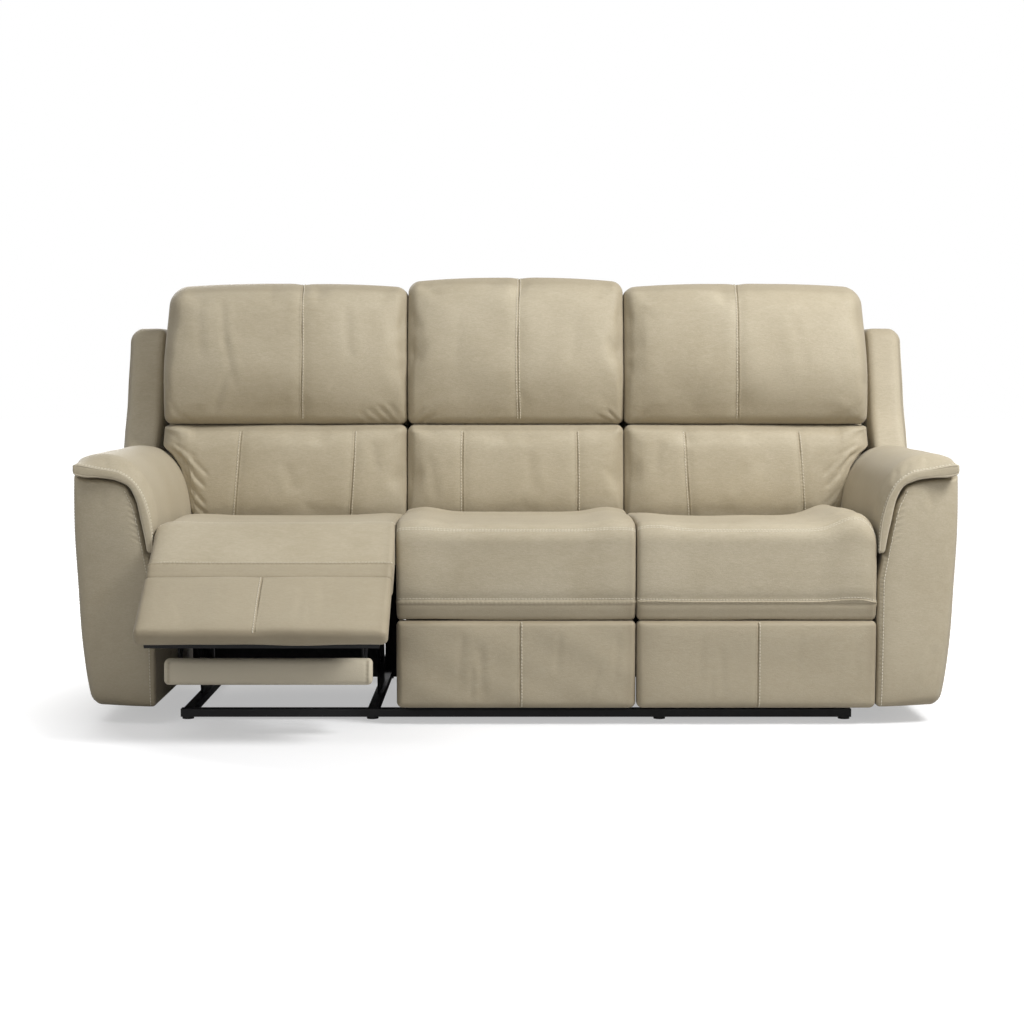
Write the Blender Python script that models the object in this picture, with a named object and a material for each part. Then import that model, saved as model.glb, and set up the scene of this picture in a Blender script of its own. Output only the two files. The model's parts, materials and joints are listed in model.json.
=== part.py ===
# Three-seat power reclining sofa, built piece by piece in metres.
# X runs to the sitter's left as seen from the front, the sofa faces -Y, Z is up.
# Sizes below are given in the sofa's own frame: y = 0 is the front face of the closed footrests
# and z = 0 is the floor. The root empty then centres the whole sofa over the origin.
# The two end seats recline; the left one is modelled with its footrest part open.

import bpy
import bmesh
import numpy as np
from math import sin, cos, tan, acos, atan2, pi, radians, sqrt

# Overall layout
SEAT_WIDTH = 0.592
UNIT_GAP = 0.008
SEAT_PITCH = SEAT_WIDTH + UNIT_GAP
ARM_GAP = 0.004
ARM_INNER = SEAT_PITCH + SEAT_WIDTH / 2 + ARM_GAP
ARM_WIDTH = 0.207
ARM_OUTER = ARM_INNER + ARM_WIDTH
WING_THICK = 0.107
WING_INNER = ARM_OUTER - WING_THICK
PANEL_BOTTOM = 0.042
FULL_OPENING = radians(85.0)
REST_OPENING = radians(58.0)
SEAT_GAP = 0.0003

# Seat
DECK_TOP = 0.3915
DECK_THICK = 0.0365
DECK_HALF_WIDTH = SEAT_WIDTH / 2 - 0.034
APRON_THICK = 0.015
APRON_BOTTOM = 0.060
CUSHION_TOP = 0.492
CUSHION_REAR = 0.574
BOLSTER = 0.011
ROLL_PIVOT = (0.042, 0.458)
ROLL_RADIUS = 0.042
ROLL_CLEAR = 0.0032
ROLL_THICK = 0.070
CREASE_HEIGHT = 0.262
SEAM_HEIGHT = 0.300
SEAM_DEPTH = 0.005

# Footrest
PAD_THICK = 0.045
BOARD_THICK = 0.015
BOARD_EDGE = 0.018
PANEL_GROOVE = 0.004

# Back
BACK_PIVOT = (0.660, 0.420)
BACK_FRONT = 0.735
BACK_KNEE = 0.500
BACK_LEAN = 0.120
SHELL_BOTTOM = 0.200
SHELL_TOP = 1.085
SHELL_EAR_BOTTOM = 0.480
SHELL_REAR_LOW = 0.905
SHELL_REAR_HIGH = 0.985
LUMBAR_BOTTOM = 0.455
LUMBAR_TOP = 0.7320
LUMBAR_FRONT_LOW = 0.592
LUMBAR_FRONT_HIGH = 0.622
HEAD_BOTTOM = LUMBAR_TOP + 0.0025
HEAD_TOP_END = 1.121
HEAD_TOP_MIDDLE = HEAD_TOP_END + 0.018
HEAD_FRONT = 0.622
HEAD_BELLY = 0.850
HEAD_BROW = 1.020
CROWN = 0.016
CHANNEL = 0.006
EAR_OUTER = WING_INNER - 0.022
HEAD_OUTER = WING_INNER - 0.026
SHELL_OUTER = WING_INNER - 0.015
EAR_CLEAR = 0.016
EAR_RISE = 0.032

# Arm and side wing
ARM_REAR = 0.655
WING_TOP = 1.003
WING_REAR = 0.985
WING_THROAT = (0.735, 0.720)
WING_BROW = 0.835
FLAP_Y = (0.952, 0.968)
FLAP_TOP = 0.430
PAD_LIFT = 0.0004
ARM_TOP = 0.628
PAD_TOP = 0.673
PAD_TIP = 0.652
PAD_FOOT = 0.430
PAD_CURVE = [
    (ARM_INNER + 0.0035, PAD_FOOT, 0.001),
    (ARM_INNER - 0.001, PAD_FOOT, 0.001),
    (ARM_INNER - 0.001, 0.490, 0.06),
    (ARM_INNER + 0.026, 0.606, 0.06),
    (ARM_INNER + 0.078, PAD_TOP - 0.008, 0.05),
    (ARM_INNER + 0.135, PAD_TOP, 0.08),
    (ARM_OUTER - 0.010, PAD_TIP + 0.008, 0.010),
    (ARM_OUTER - 0.001, ARM_TOP + 0.0065, 0.006),
]
ARM_SHOULDER = (1, 5)

# Steel base
RAIL_TOP = 0.026
GLIDE_HEIGHT = 0.006
GLIDE_RADIUS = 0.015
FRONT_RAIL_Y = 0.090
FRONT_RAIL_DEPTH = 0.030
RAIL_OVERHANG = 0.0195
REAR_RAIL_Y = 0.785
REAR_RAIL_DEPTH = 0.035
REAR_RAIL_TOP = 0.066
SIDE_RAIL_WIDTH = 0.025

# Footrest linkage: a parallelogram between the plate and the footrest arm
PLATE_OFFSET = SEAT_WIDTH / 2 - 0.0635
PLATE_THICK = 0.005
LINK_THICK = 0.004
LINK_WIDTH = 0.026
LINK_GAP = 0.001
PLATE_UNDERSIDE = [(0.048, 0.350), (0.068, 0.306), (0.175, 0.292), (0.330, 0.085)]
PLATE_FOOT = (0.345, 0.575)
PLATE_HEEL = 0.600
PLATE_WINDOW = [(0.30, 0.20), (0.40, 0.10), (0.51, 0.10), (0.51, 0.25), (0.30, 0.27)]
LUG_HALF_HEIGHT = 0.015
LINK_PIVOT = (0.130, 0.333)
ARM_PIVOT = (0.085, 0.205)
PIN_RADIUS = 0.0060
PIN_CLEAR = 0.0006
TUBE_RADIUS = 0.011
CRANK_LENGTH = 0.060
CRANK_PIN = 0.004
FLIPPER_HALF_WIDTH = SEAT_WIDTH / 2 - 0.044
FLIPPER_HEIGHT = 0.063
FLIPPER_THICK = 0.040
FLIPPER_OFFSET = (-0.0865, -0.006)

# Drive and switches
DRIVE_RAIL = (0.034, 0.024)
DRIVE_RAIL_TOP = 0.255
DRIVE_TRAVEL = 0.081
BLOCK_SIZE = (0.046, 0.044, 0.030)
MOTOR_SIZE = (0.070, 0.130, 0.090)
BEZEL_SIZE = (0.012, 0.100, 0.040)
BEZEL_PLACE = (0.280, 0.540)
ROCKER_SIZE = (0.008, 0.034, 0.024)
ROCKER_CLEAR = 0.0005
ROCKER_SPACING = 0.044


def clear_scene():
    for item in list(bpy.data.objects):
        bpy.data.objects.remove(item)


def material(name, colour, roughness, metallic=0.0):
    made = bpy.data.materials.new(name)
    made.use_nodes = True
    shader = made.node_tree.nodes["Principled BSDF"]
    shader.inputs["Base Color"].default_value = (*colour, 1.0)
    shader.inputs["Roughness"].default_value = roughness
    shader.inputs["Metallic"].default_value = metallic
    made.diffuse_color = (*colour, 1.0)
    return made


class Frame:
    """An empty on a joint's axis; pieces are given in the closed sofa's own coordinates."""

    def __init__(self, name, parent=None, origin=(0.0, 0.0, 0.0), turn=0.0):
        self.origin = np.array(origin, float)
        self.empty = bpy.data.objects.new(name, None)
        self.empty.empty_display_size = 0.05
        bpy.context.collection.objects.link(self.empty)
        if parent is not None:
            self.empty.parent = parent.empty
            self.empty.location = self.origin - parent.origin
        self.empty.rotation_euler = (turn, 0.0, 0.0)


def solid(name, verts, faces, finish, frame, smooth=True):
    """A closed mesh object hung from a frame, its faces turned outwards."""
    mesh = bpy.data.meshes.new(name)
    work = bmesh.new()
    made = [work.verts.new(v) for v in np.asarray(verts, float) - frame.origin]
    for face in faces:
        work.faces.new([made[i] for i in face])
    bmesh.ops.recalc_face_normals(work, faces=work.faces)
    if work.calc_volume(signed=True) < 0:
        bmesh.ops.reverse_faces(work, faces=work.faces)
    work.to_mesh(mesh)
    work.free()
    if smooth:
        mesh.shade_smooth()
        mesh.set_sharp_from_angle(angle=radians(38.0))
    mesh.materials.append(finish)
    piece = bpy.data.objects.new(name, mesh)
    piece.parent = frame.empty
    bpy.context.collection.objects.link(piece)
    return piece


def loft(name, rings, finish, frame, smooth=True):
    """A skin over rings of equal length, closed by a flat face at each end."""
    rings = np.asarray(rings, float)
    count, size = rings.shape[:2]
    faces = [
        [i * size + j, i * size + (j + 1) % size, (i + 1) * size + (j + 1) % size, (i + 1) * size + j]
        for i in range(count - 1)
        for j in range(size)
    ]
    faces.append(list(range(size)))
    faces.append([(count - 1) * size + j for j in range(size)])
    return solid(name, rings.reshape(-1, 3), faces, finish, frame, smooth)


def box(name, low, high, finish, frame):
    """A plain block between two corners."""
    ring = [(low[1], low[2]), (high[1], low[2]), (high[1], high[2]), (low[1], high[2])]
    return plate(name, ring, low[0], high[0], finish, frame)


def plate(name, outline, x0, x1, finish, frame, smooth=False):
    """A YZ outline extruded along X."""
    rings = [[(x, y, z) for y, z in outline] for x in (x0, x1)]
    return loft(name, rings, finish, frame, smooth)


def disc(name, centre, radius, x0, x1, finish, frame, sides=16):
    """A round bar along X."""
    ring = arc(centre, radius, 0.0, 2 * pi * (sides - 1) / sides, sides - 1)
    return plate(name, ring, x0, x1, finish, frame, smooth=True)


def arc(centre, radius, start, end, steps):
    angles = np.linspace(start, end, steps + 1)
    return [(centre[0] + radius * cos(a), centre[1] + radius * sin(a)) for a in angles]


def rounded(corners, steps=3):
    """A closed outline from (a, b, radius) corners; each corner becomes a circular arc.

    The arc is a rational curve between its two tangent points, weighted by the sine of half
    the corner's angle, which also holds where a corner is almost straight.
    """
    outline = []
    for i, (a, b, radius) in enumerate(corners):
        here = np.array((a, b))
        back = np.array(corners[i - 1][:2]) - here
        ahead = np.array(corners[(i + 1) % len(corners)][:2]) - here
        room = 0.48 * min(np.linalg.norm(back), np.linalg.norm(ahead))
        back = back / np.linalg.norm(back)
        ahead = ahead / np.linalg.norm(ahead)
        half = acos(np.clip(back @ ahead, -1.0, 1.0)) / 2
        length = min(radius / max(tan(half), 1e-6), room)
        weight = sin(half)
        for t in np.linspace(0.0, 1.0, steps + 1):
            shares = ((1 - t) ** 2, 2 * t * (1 - t) * weight, t * t)
            points = (here + back * length, here, here + ahead * length)
            outline.append(sum(w * p for w, p in zip(shares, points)) / sum(shares))
    return np.array(outline)


def drawn_in(ring, distance):
    """The outline shrunk towards the middle of its box by a distance on every side."""
    ring = np.asarray(ring, float)
    low, high = ring.min(axis=0), ring.max(axis=0)
    middle = (low + high) / 2
    return middle + (ring - middle) * (1 - 2 * distance / (high - low))


def inset(ring, distance):
    """The outline moved in by a distance along its own normals; below zero it grows."""
    ring = np.asarray(ring, float)
    along = np.roll(ring, -1, axis=0) - np.roll(ring, 1, axis=0)
    normal = np.stack([along[:, 1], -along[:, 0]], axis=1)
    normal /= np.linalg.norm(normal, axis=1)[:, None]
    area = np.sum(ring[:, 0] * np.roll(ring[:, 1], -1) - np.roll(ring[:, 0], -1) * ring[:, 1])
    return ring - normal * distance * np.sign(area)


def stations(low, high, edge, inner):
    """Places along an axis with their draw-in: quarter-round ends and the given inner places."""
    turn = [0.0, pi / 6, pi / 3, pi / 2]
    near = [(low + edge * (1 - cos(t)), edge * (1 - sin(t))) for t in turn]
    far = [(high - edge * (1 - cos(t)), edge * (1 - sin(t))) for t in reversed(turn)]
    return near + [(x, 0.0) for x in sorted(inner) if low + edge < x < high - edge] + far


def across(name, section, places, finish, frame, side=1.0):
    """A soft piece whose YZ section changes along X; side -1 mirrors it to the left."""
    rings = []
    for x, draw in places:
        rings.append([(side * x, y, z) for y, z in drawn_in(section(x), draw)])
    return loft(name, rings, finish, frame)


def combine(piece, tool, operation):
    """A live Boolean with a hidden guide."""
    tool.hide_render = True
    tool.display_type = "WIRE"
    change = piece.modifiers.new(operation.title(), "BOOLEAN")
    change.operation = operation
    change.object = tool
    change.solver = "EXACT"


def opened(point, angle):
    """Where a point of the closed footrest lies once it is opened by an angle."""
    y = point[0] - ROLL_PIVOT[0]
    z = point[1] - ROLL_PIVOT[1]
    return (ROLL_PIVOT[0] + y * cos(angle) + z * sin(angle), ROLL_PIVOT[1] - y * sin(angle) + z * cos(angle))


def seam_places(low, high, seams, steps):
    """Even places across a cushion plus three at every sewn channel."""
    even = list(np.linspace(low, high, steps + 2)[1:-1])
    kept = [x for x in even if all(abs(x - s) > 0.02 for s in seams)]
    return kept + [s + d for s in seams for d in (-0.011, 0.0, 0.011)]


def groove(x, seams, depth):
    """How far the face is drawn in at x by the sewn channels."""
    return sum(depth * max(0.0, 1 - abs(x - s) / 0.010) for s in seams)


def bolster(x, low, high):
    """The rise of a seat near its two sides: a cosine wave with its crests near the edges."""
    along = (x - low) / (high - low)
    return BOLSTER * 0.5 * (1 + cos(2 * pi * (along - 0.09) / 0.82)) if 0.09 < along < 0.91 else BOLSTER


def crown(x, low, high):
    """The forward bulge of a padded face, greatest half way across."""
    along = 2 * (x - low) / (high - low) - 1
    return CROWN * (1 - along * along)


def seat_cushion(name, low, high, finish, frame, side=1.0):
    """Crowned cushion; its front is hollowed to let the roll turn."""

    def section(x):
        rise = bolster(x, low, high)
        hollow = ROLL_RADIUS + rise + ROLL_CLEAR
        front = arc(ROLL_PIVOT, hollow, radians(58.0), radians(-34.0), 5)
        top = CUSHION_TOP + rise
        rear = [(front[-1][0], DECK_TOP + SEAT_GAP), (CUSHION_REAR, DECK_TOP + SEAT_GAP)]
        crest = [(CUSHION_REAR, top - 0.045), (CUSHION_REAR - 0.025, top - 0.018)]
        slope = [(0.400, top - 0.004), (0.220, top + 0.004)]
        return np.array(front + rear + crest + slope)

    places = stations(low, high, 0.006, np.linspace(low, high, 13))
    return across(name, section, places, finish, frame, side)


def front_roll(name, low, high, finish, frame, side=1.0):
    """Rounded seat front with its sewn lower band; it turns about the roll pivot."""
    middle = (low + high) / 2

    def section(x):
        radius = ROLL_RADIUS + bolster(x, low, high)
        front = ROLL_PIVOT[0] - radius
        knuckle = arc(ROLL_PIVOT, radius, pi, -acos((ROLL_THICK - ROLL_PIVOT[0]) / radius), 9)
        face = [
            (0.004, CREASE_HEIGHT + SEAT_GAP),
            (front * 0.5, (CREASE_HEIGHT + SEAM_HEIGHT) / 2),
            (SEAM_DEPTH * 0.7, SEAM_HEIGHT),
            (front * 0.8, SEAM_HEIGHT + 0.018),
            (front, 0.380),
        ]
        heel = [(ROLL_THICK, CREASE_HEIGHT + SEAT_GAP)]
        return np.array(face + knuckle + heel)

    places = stations(low, high, 0.006, np.linspace(low, high, 13))
    roll = across(name, section, places, finish, frame, side)
    for sign in (-1, 1):
        near = middle + sign * (PLATE_OFFSET - LINK_THICK - 2 * LINK_GAP - 0.001)
        far = middle + sign * (PLATE_OFFSET + PLATE_THICK + 0.002)
        low_corner = (side * min(side * near, side * far), ROLL_PIVOT[0] - 0.018, CREASE_HEIGHT - 0.02)
        high_corner = (side * max(side * near, side * far), ROLL_THICK + 0.03, ROLL_PIVOT[1] + 0.028)
        ring = [
            (low_corner[1], low_corner[2]),
            (high_corner[1], low_corner[2]),
            (high_corner[1], high_corner[2]),
            (low_corner[1], high_corner[2]),
        ]
        slot = plate(f"{name}_slot_{sign}", ring, side * near, side * far, finish, frame)
        combine(roll, slot, "DIFFERENCE")
    return roll


def footrest_pad(name, low, high, seams, finish, frame, side=1.0):
    """Upholstered front panel with a sewn seam down its face."""
    top = CREASE_HEIGHT - SEAT_GAP

    def section(x):
        face = groove(x, seams, PANEL_GROOVE) - 0.35 * crown(x, low, high)
        return rounded(
            [
                (face + 0.006, top, 0.005),
                (face, top - 0.035, 0.03),
                (face, PANEL_BOTTOM + 0.05, 0.04),
                (face + 0.008, PANEL_BOTTOM, 0.010),
                (PAD_THICK, PANEL_BOTTOM, 0.010),
                (PAD_THICK, top, 0.003),
            ],
            steps=2,
        )

    places = stations(low, high, 0.009, seam_places(low, high, seams, 5))
    return across(name, section, places, finish, frame, side)


def back_line(z):
    """The plane between the back cushions and the back shell, which leans above its knee."""
    return BACK_FRONT + max(0.0, z - BACK_KNEE) * BACK_LEAN


def lumbar_cushion(name, low, high, seams, finish, frame, side=1.0, ear=None):
    """Lower back cushion; an end seat's one reaches over the arm in an ear."""
    outer = ear if ear else high

    def section(x):
        bottom = LUMBAR_BOTTOM
        heel = bottom
        if x > high - 0.004:
            bottom = arm_height(x) + EAR_CLEAR
            heel = bottom + EAR_RISE
        bulge = crown(min(x, high), low, high) - groove(x, seams, CHANNEL)
        if x > high - 0.004:
            bulge = 0.002
        middle = (bottom + LUMBAR_TOP) / 2
        knee = max(BACK_KNEE, heel + 0.02)
        round_edge = min(0.030, (LUMBAR_TOP - bottom) / 3)
        return rounded(
            [
                (LUMBAR_FRONT_LOW + 0.006, bottom, round_edge),
                (LUMBAR_FRONT_LOW + 0.008 - bulge, middle, 0.20),
                (LUMBAR_FRONT_HIGH - 0.006, LUMBAR_TOP, round_edge),
                (back_line(LUMBAR_TOP) - SEAT_GAP, LUMBAR_TOP, 0.008),
                (BACK_FRONT - SEAT_GAP, knee, 0.02),
                (BACK_FRONT - SEAT_GAP, heel, 0.008),
            ],
            steps=3,
        )

    inner = seam_places(low, high - 0.012, seams, 7)
    if ear:
        inner += [high - 0.010, high - 0.0045, high - 0.0035, high + 0.012, high + 0.035]
    places = stations(low, outer, 0.024, inner)
    return across(name, section, places, finish, frame, side)


def head_cushion(name, low, high, top, seams, finish, frame, side=1.0):
    """Upper back cushion: a full, rounded pillow."""

    def section(x):
        along = (x - low) / (high - low)
        crest = top - 0.010 * (2 * along - 1) ** 2
        bulge = crown(x, low, high) - groove(x, seams, CHANNEL)
        return rounded(
            [
                (HEAD_FRONT + 0.012, HEAD_BOTTOM, 0.026),
                (HEAD_FRONT - 0.006 - bulge, HEAD_BELLY, 0.20),
                (HEAD_FRONT + 0.026 - bulge, HEAD_BROW, 0.15),
                (HEAD_FRONT + 0.070, crest, 0.048),
                (back_line(crest - 0.006) - SEAT_GAP, crest - 0.006, 0.035),
                (back_line(HEAD_BOTTOM) - SEAT_GAP, HEAD_BOTTOM, 0.008),
            ],
            steps=4,
        )

    places = stations(low, high, 0.036, seam_places(low, high, seams, 7))
    return across(name, section, places, finish, frame, side)


def back_shell(name, low, high, bottom, finish, frame, side=1.0, ear=None):
    """Back frame with its upholstered outside; an end seat's one widens above the arm's rear."""

    def section(x):
        foot = SHELL_EAR_BOTTOM if x > high - 0.004 else bottom
        return rounded(
            [
                (BACK_FRONT, foot, 0.006),
                (BACK_FRONT, BACK_KNEE, 0.10),
                (back_line(SHELL_TOP), SHELL_TOP, 0.015),
                (SHELL_REAR_HIGH - 0.012, SHELL_TOP, 0.030),
                (SHELL_REAR_HIGH, SHELL_TOP - 0.10, 0.20),
                (rear_line(foot), foot, 0.012),
            ],
            steps=3,
        )

    inner = [high - 0.0045, high - 0.0035] if ear else []
    places = stations(low, ear if ear else high, 0.014, inner)
    return across(name, section, places, finish, frame, side)


def rear_line(z):
    """The outside back's slope from the floor end to its top."""
    share = (z - SHELL_BOTTOM) / (SHELL_TOP - 0.10 - SHELL_BOTTOM)
    return SHELL_REAR_LOW + share * (SHELL_REAR_HIGH - SHELL_REAR_LOW)


def arm_height(x):
    """Height of the arm pad's top over a place x across the sofa."""
    across_pad = [p[0] for p in PAD_CURVE[2:7]]
    heights = [p[1] for p in PAD_CURVE[2:7]]
    return float(np.interp(x, across_pad, heights))


def arm_outline():
    """The arm panel as seen from the front, for the right-hand arm."""
    return rounded(
        [
            (ARM_INNER, PANEL_BOTTOM + 0.002, 0.012),
            (ARM_INNER, 0.400, 0.10),
            (ARM_INNER + 0.044, 0.566, 0.07),
            (ARM_INNER + 0.085, ARM_TOP - 0.006, 0.05),
            (ARM_INNER + 0.155, ARM_TOP, 0.05),
            (ARM_OUTER - 0.006, ARM_TOP - 0.004, 0.022),
            (ARM_OUTER, 0.540, 0.15),
            (ARM_OUTER - 0.008, 0.360, 0.30),
            (ARM_OUTER - 0.024, 0.130, 0.20),
            (ARM_OUTER - 0.040, PANEL_BOTTOM + 0.002, 0.035),
        ],
        steps=3,
    )


def pad_outline():
    """The arm pad's section: a padded strip over the arm and down its inner side."""
    over = rounded(PAD_CURVE, steps=3)
    shoulder = inset(arm_outline(), -PAD_LIFT)[4 * ARM_SHOULDER[0] : 4 * ARM_SHOULDER[1]]
    under = shoulder[shoulder[:, 1] > PAD_FOOT + 0.006][::-1]
    return np.concatenate([over, under])


def along_depth(name, outline, places, shrink, finish, frame, side):
    """An XZ outline carried along Y and shrunk by a distance at each place."""
    rings = [[(side * x, y, z) for x, z in shrink(outline, draw)] for y, draw in places]
    return loft(name, rings, finish, frame)


def arm(side_name, side, frame, finishes):
    """Arm panel, arm pad, side wing and the switch plate let into the panel."""
    leather = finishes["leather"]
    panel_places = [(0.0, 0.018), (0.004, 0.009), (0.018, 0.0), (ARM_REAR, 0.0)]
    panel = along_depth(
        f"{side_name}_arm_panel", arm_outline(), panel_places, drawn_in, leather, frame, side
    )
    pad_places = [(-0.003, 0.002), (0.001, 0.0), (ARM_REAR - 0.020, 0.0), (ARM_REAR - 0.003, 0.002)]
    along_depth(f"{side_name}_arm_pad", pad_outline(), pad_places, inset, leather, frame, side)

    face = ARM_OUTER + 0.002
    floor = face - BEZEL_SIZE[0] - SEAT_GAP
    half_y = BEZEL_SIZE[1] / 2
    half_z = BEZEL_SIZE[2] / 2
    ring = [
        (BEZEL_PLACE[0] - half_y - SEAT_GAP, BEZEL_PLACE[1] - half_z - SEAT_GAP),
        (BEZEL_PLACE[0] + half_y + SEAT_GAP, BEZEL_PLACE[1] - half_z - SEAT_GAP),
        (BEZEL_PLACE[0] + half_y + SEAT_GAP, BEZEL_PLACE[1] + half_z + SEAT_GAP),
        (BEZEL_PLACE[0] - half_y - SEAT_GAP, BEZEL_PLACE[1] + half_z + SEAT_GAP),
    ]
    pocket_x = (side * floor, side * (face + 0.05))
    pocket = plate(f"{side_name}_pocket", ring, min(pocket_x), max(pocket_x), leather, frame)
    combine(panel, pocket, "DIFFERENCE")
    switch_plate(side_name, side, face, frame, finishes)

    wing_ring = rounded(
        [
            (ARM_REAR + SEAT_GAP, PANEL_BOTTOM + 0.002, 0.010),
            (ARM_REAR + SEAT_GAP, 0.640, 0.05),
            (*WING_THROAT, 0.10),
            (WING_BROW, WING_TOP, 0.030),
            (WING_REAR, WING_TOP, 0.035),
            (WING_REAR - 0.010, PANEL_BOTTOM + 0.002, 0.012),
        ],
        steps=4,
    )

    def wing_section(x):
        return wing_ring

    wing_places = stations(WING_INNER, ARM_OUTER - 0.002, 0.010, [])
    wing_places = wing_places[:4] + stations(WING_INNER, ARM_OUTER - 0.002, 0.030, [])[-4:]
    wing = across(f"{side_name}_side_wing", wing_section, wing_places, leather, frame, side)
    flap_x = sorted((side * (ARM_INNER + 0.001), side * (WING_INNER + 0.020)))
    flap = box(
        f"{side_name}_rear_flap",
        (flap_x[0], FLAP_Y[0], PANEL_BOTTOM + 0.010),
        (flap_x[1], FLAP_Y[1], FLAP_TOP),
        leather,
        frame,
    )
    combine(wing, flap, "UNION")


def switch_plate(side_name, side, face, frame, finishes):
    """Black bezel in the arm's outer side with two rocker switches."""
    black = finishes["plastic"]
    place_y, place_z = BEZEL_PLACE
    xs = sorted((side * face, side * (face - BEZEL_SIZE[0])))
    bezel = box(
        f"{side_name}_switch_bezel",
        (xs[0], place_y - BEZEL_SIZE[1] / 2, place_z - BEZEL_SIZE[2] / 2),
        (xs[1], place_y + BEZEL_SIZE[1] / 2, place_z + BEZEL_SIZE[2] / 2),
        black,
        frame,
    )
    for job, step in (("recline", -0.5), ("headrest", 0.5)):
        centre = (side * (face - 0.0045), place_y + step * ROCKER_SPACING, place_z)
        half = [s / 2 for s in ROCKER_SIZE]
        window = box(
            f"{side_name}_{job}_window",
            (xs[0] - 0.01, centre[1] - half[1] - ROCKER_CLEAR, centre[2] - half[2] - ROCKER_CLEAR),
            (xs[1] + 0.01, centre[1] + half[1] + ROCKER_CLEAR, centre[2] + half[2] + ROCKER_CLEAR),
            black,
            frame,
        )
        combine(bezel, window, "DIFFERENCE")
        hinge = Frame(f"{side_name}_{job}_rocker_axis", frame, centre)
        outer = side * (face + 0.0005)
        inner = side * (face + 0.0005 - ROCKER_SIZE[0])
        crest = side * (face + 0.0020)
        ring = [
            (inner, centre[1] - half[1]),
            (inner, centre[1] + half[1]),
            (crest, centre[1] + half[1]),
            (outer, centre[1] + 0.004),
            (outer, centre[1] - 0.004),
            (crest, centre[1] - half[1]),
        ]
        rings = [[(x, y, z) for x, y in ring] for z in (centre[2] - half[2], centre[2] + half[2])]
        loft(f"{side_name}_{job}_rocker", rings, black, hinge, smooth=False)


def glide(name, x, y, finish, frame):
    """A round foot that reaches up into its rail."""
    ring = arc((x, y), GLIDE_RADIUS, 0.0, 2 * pi * 15 / 16, 15)
    rings = [[(a, b, z) for a, b in ring] for z in (0.0, GLIDE_HEIGHT + 0.004)]
    return loft(name, rings, finish, frame)


def base(frame, finishes):
    """Front and rear cross rails and four side rails under the end seats."""
    steel = finishes["steel"]
    bottom = GLIDE_HEIGHT
    front_end = FRONT_RAIL_Y + FRONT_RAIL_DEPTH
    front_half = SEAT_PITCH + PLATE_OFFSET + RAIL_OVERHANG
    front = box(
        "base_front_rail",
        (-front_half, FRONT_RAIL_Y, bottom),
        (front_half, front_end, RAIL_TOP),
        steel,
        frame,
    )
    rear_half = WING_INNER - SEAT_GAP
    rear = box(
        "base_rear_rail",
        (-rear_half, REAR_RAIL_Y, bottom),
        (rear_half, REAR_RAIL_Y + REAR_RAIL_DEPTH, REAR_RAIL_TOP),
        steel,
        frame,
    )
    offset = PLATE_OFFSET + PLATE_THICK / 2
    for sign in (-1, 1):
        for part, shift in (("outer", offset), ("inner", -offset)):
            x = sign * (SEAT_PITCH + shift)
            side_name = "left" if sign < 0 else "right"
            box(
                f"base_side_rail_{side_name}_{part}",
                (x - SIDE_RAIL_WIDTH / 2, front_end + SEAT_GAP, bottom),
                (x + SIDE_RAIL_WIDTH / 2, REAR_RAIL_Y - SEAT_GAP, RAIL_TOP),
                steel,
                frame,
            )
            for rail, y in ((front, front_end - GLIDE_RADIUS), (rear, REAR_RAIL_Y + REAR_RAIL_DEPTH / 2)):
                combine(rail, glide(f"glide_{x:.3f}_{y:.3f}", x, y, steel, frame), "UNION")


def link_outline(start, end, half):
    """A flat bar with round ends between two pivots."""
    run = atan2(end[1] - start[1], end[0] - start[0])
    return arc(end, half, run - pi / 2, run + pi / 2, 6) + arc(start, half, run + pi / 2, run + 3 * pi / 2, 6)


def pivot_hole(piece, name, centre, x0, x1, finish, frame, radius=PIN_RADIUS + PIN_CLEAR):
    combine(piece, disc(name, centre, radius, min(x0, x1), max(x0, x1), finish, frame), "DIFFERENCE")


def pivot_pin(piece, name, centre, x0, x1, finish, frame, radius=PIN_RADIUS):
    combine(piece, disc(name, centre, radius, min(x0, x1), max(x0, x1), finish, frame), "UNION")


def mechanism_plate(name, x, way, finish, frame):
    """Side plate of the recliner: it carries the deck, the footrest links and the back."""
    half = LINK_WIDTH / 2
    nose = arc(ROLL_PIVOT, half, radians(10.0), radians(190.0), 6)
    heel = arc(BACK_PIVOT, 0.020, radians(-60.0), radians(150.0), 6)
    top = DECK_TOP - DECK_THICK - SEAT_GAP
    outline = nose + PLATE_UNDERSIDE + [
        (PLATE_FOOT[0], RAIL_TOP + SEAT_GAP),
        (PLATE_FOOT[1], RAIL_TOP + SEAT_GAP),
        (PLATE_HEEL - 0.010, 0.300),
    ] + heel + [
        (PLATE_HEEL, top),
        (0.0745, top),
    ]
    made = plate(name, outline, min(x, x + way * PLATE_THICK), max(x, x + way * PLATE_THICK), finish, frame)
    near, far = x - way * 0.01, x + way * 0.02
    for tag, centre in (("roll", ROLL_PIVOT), ("link", LINK_PIVOT), ("back", BACK_PIVOT)):
        pivot_hole(made, f"{name}_{tag}_hole", centre, near, far, finish, frame)
    window = rounded([(y, z, 0.02) for y, z in PLATE_WINDOW])
    cut = plate(f"{name}_window", window, min(near, far), max(near, far), finish, frame)
    combine(made, cut, "DIFFERENCE")
    return made


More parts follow.
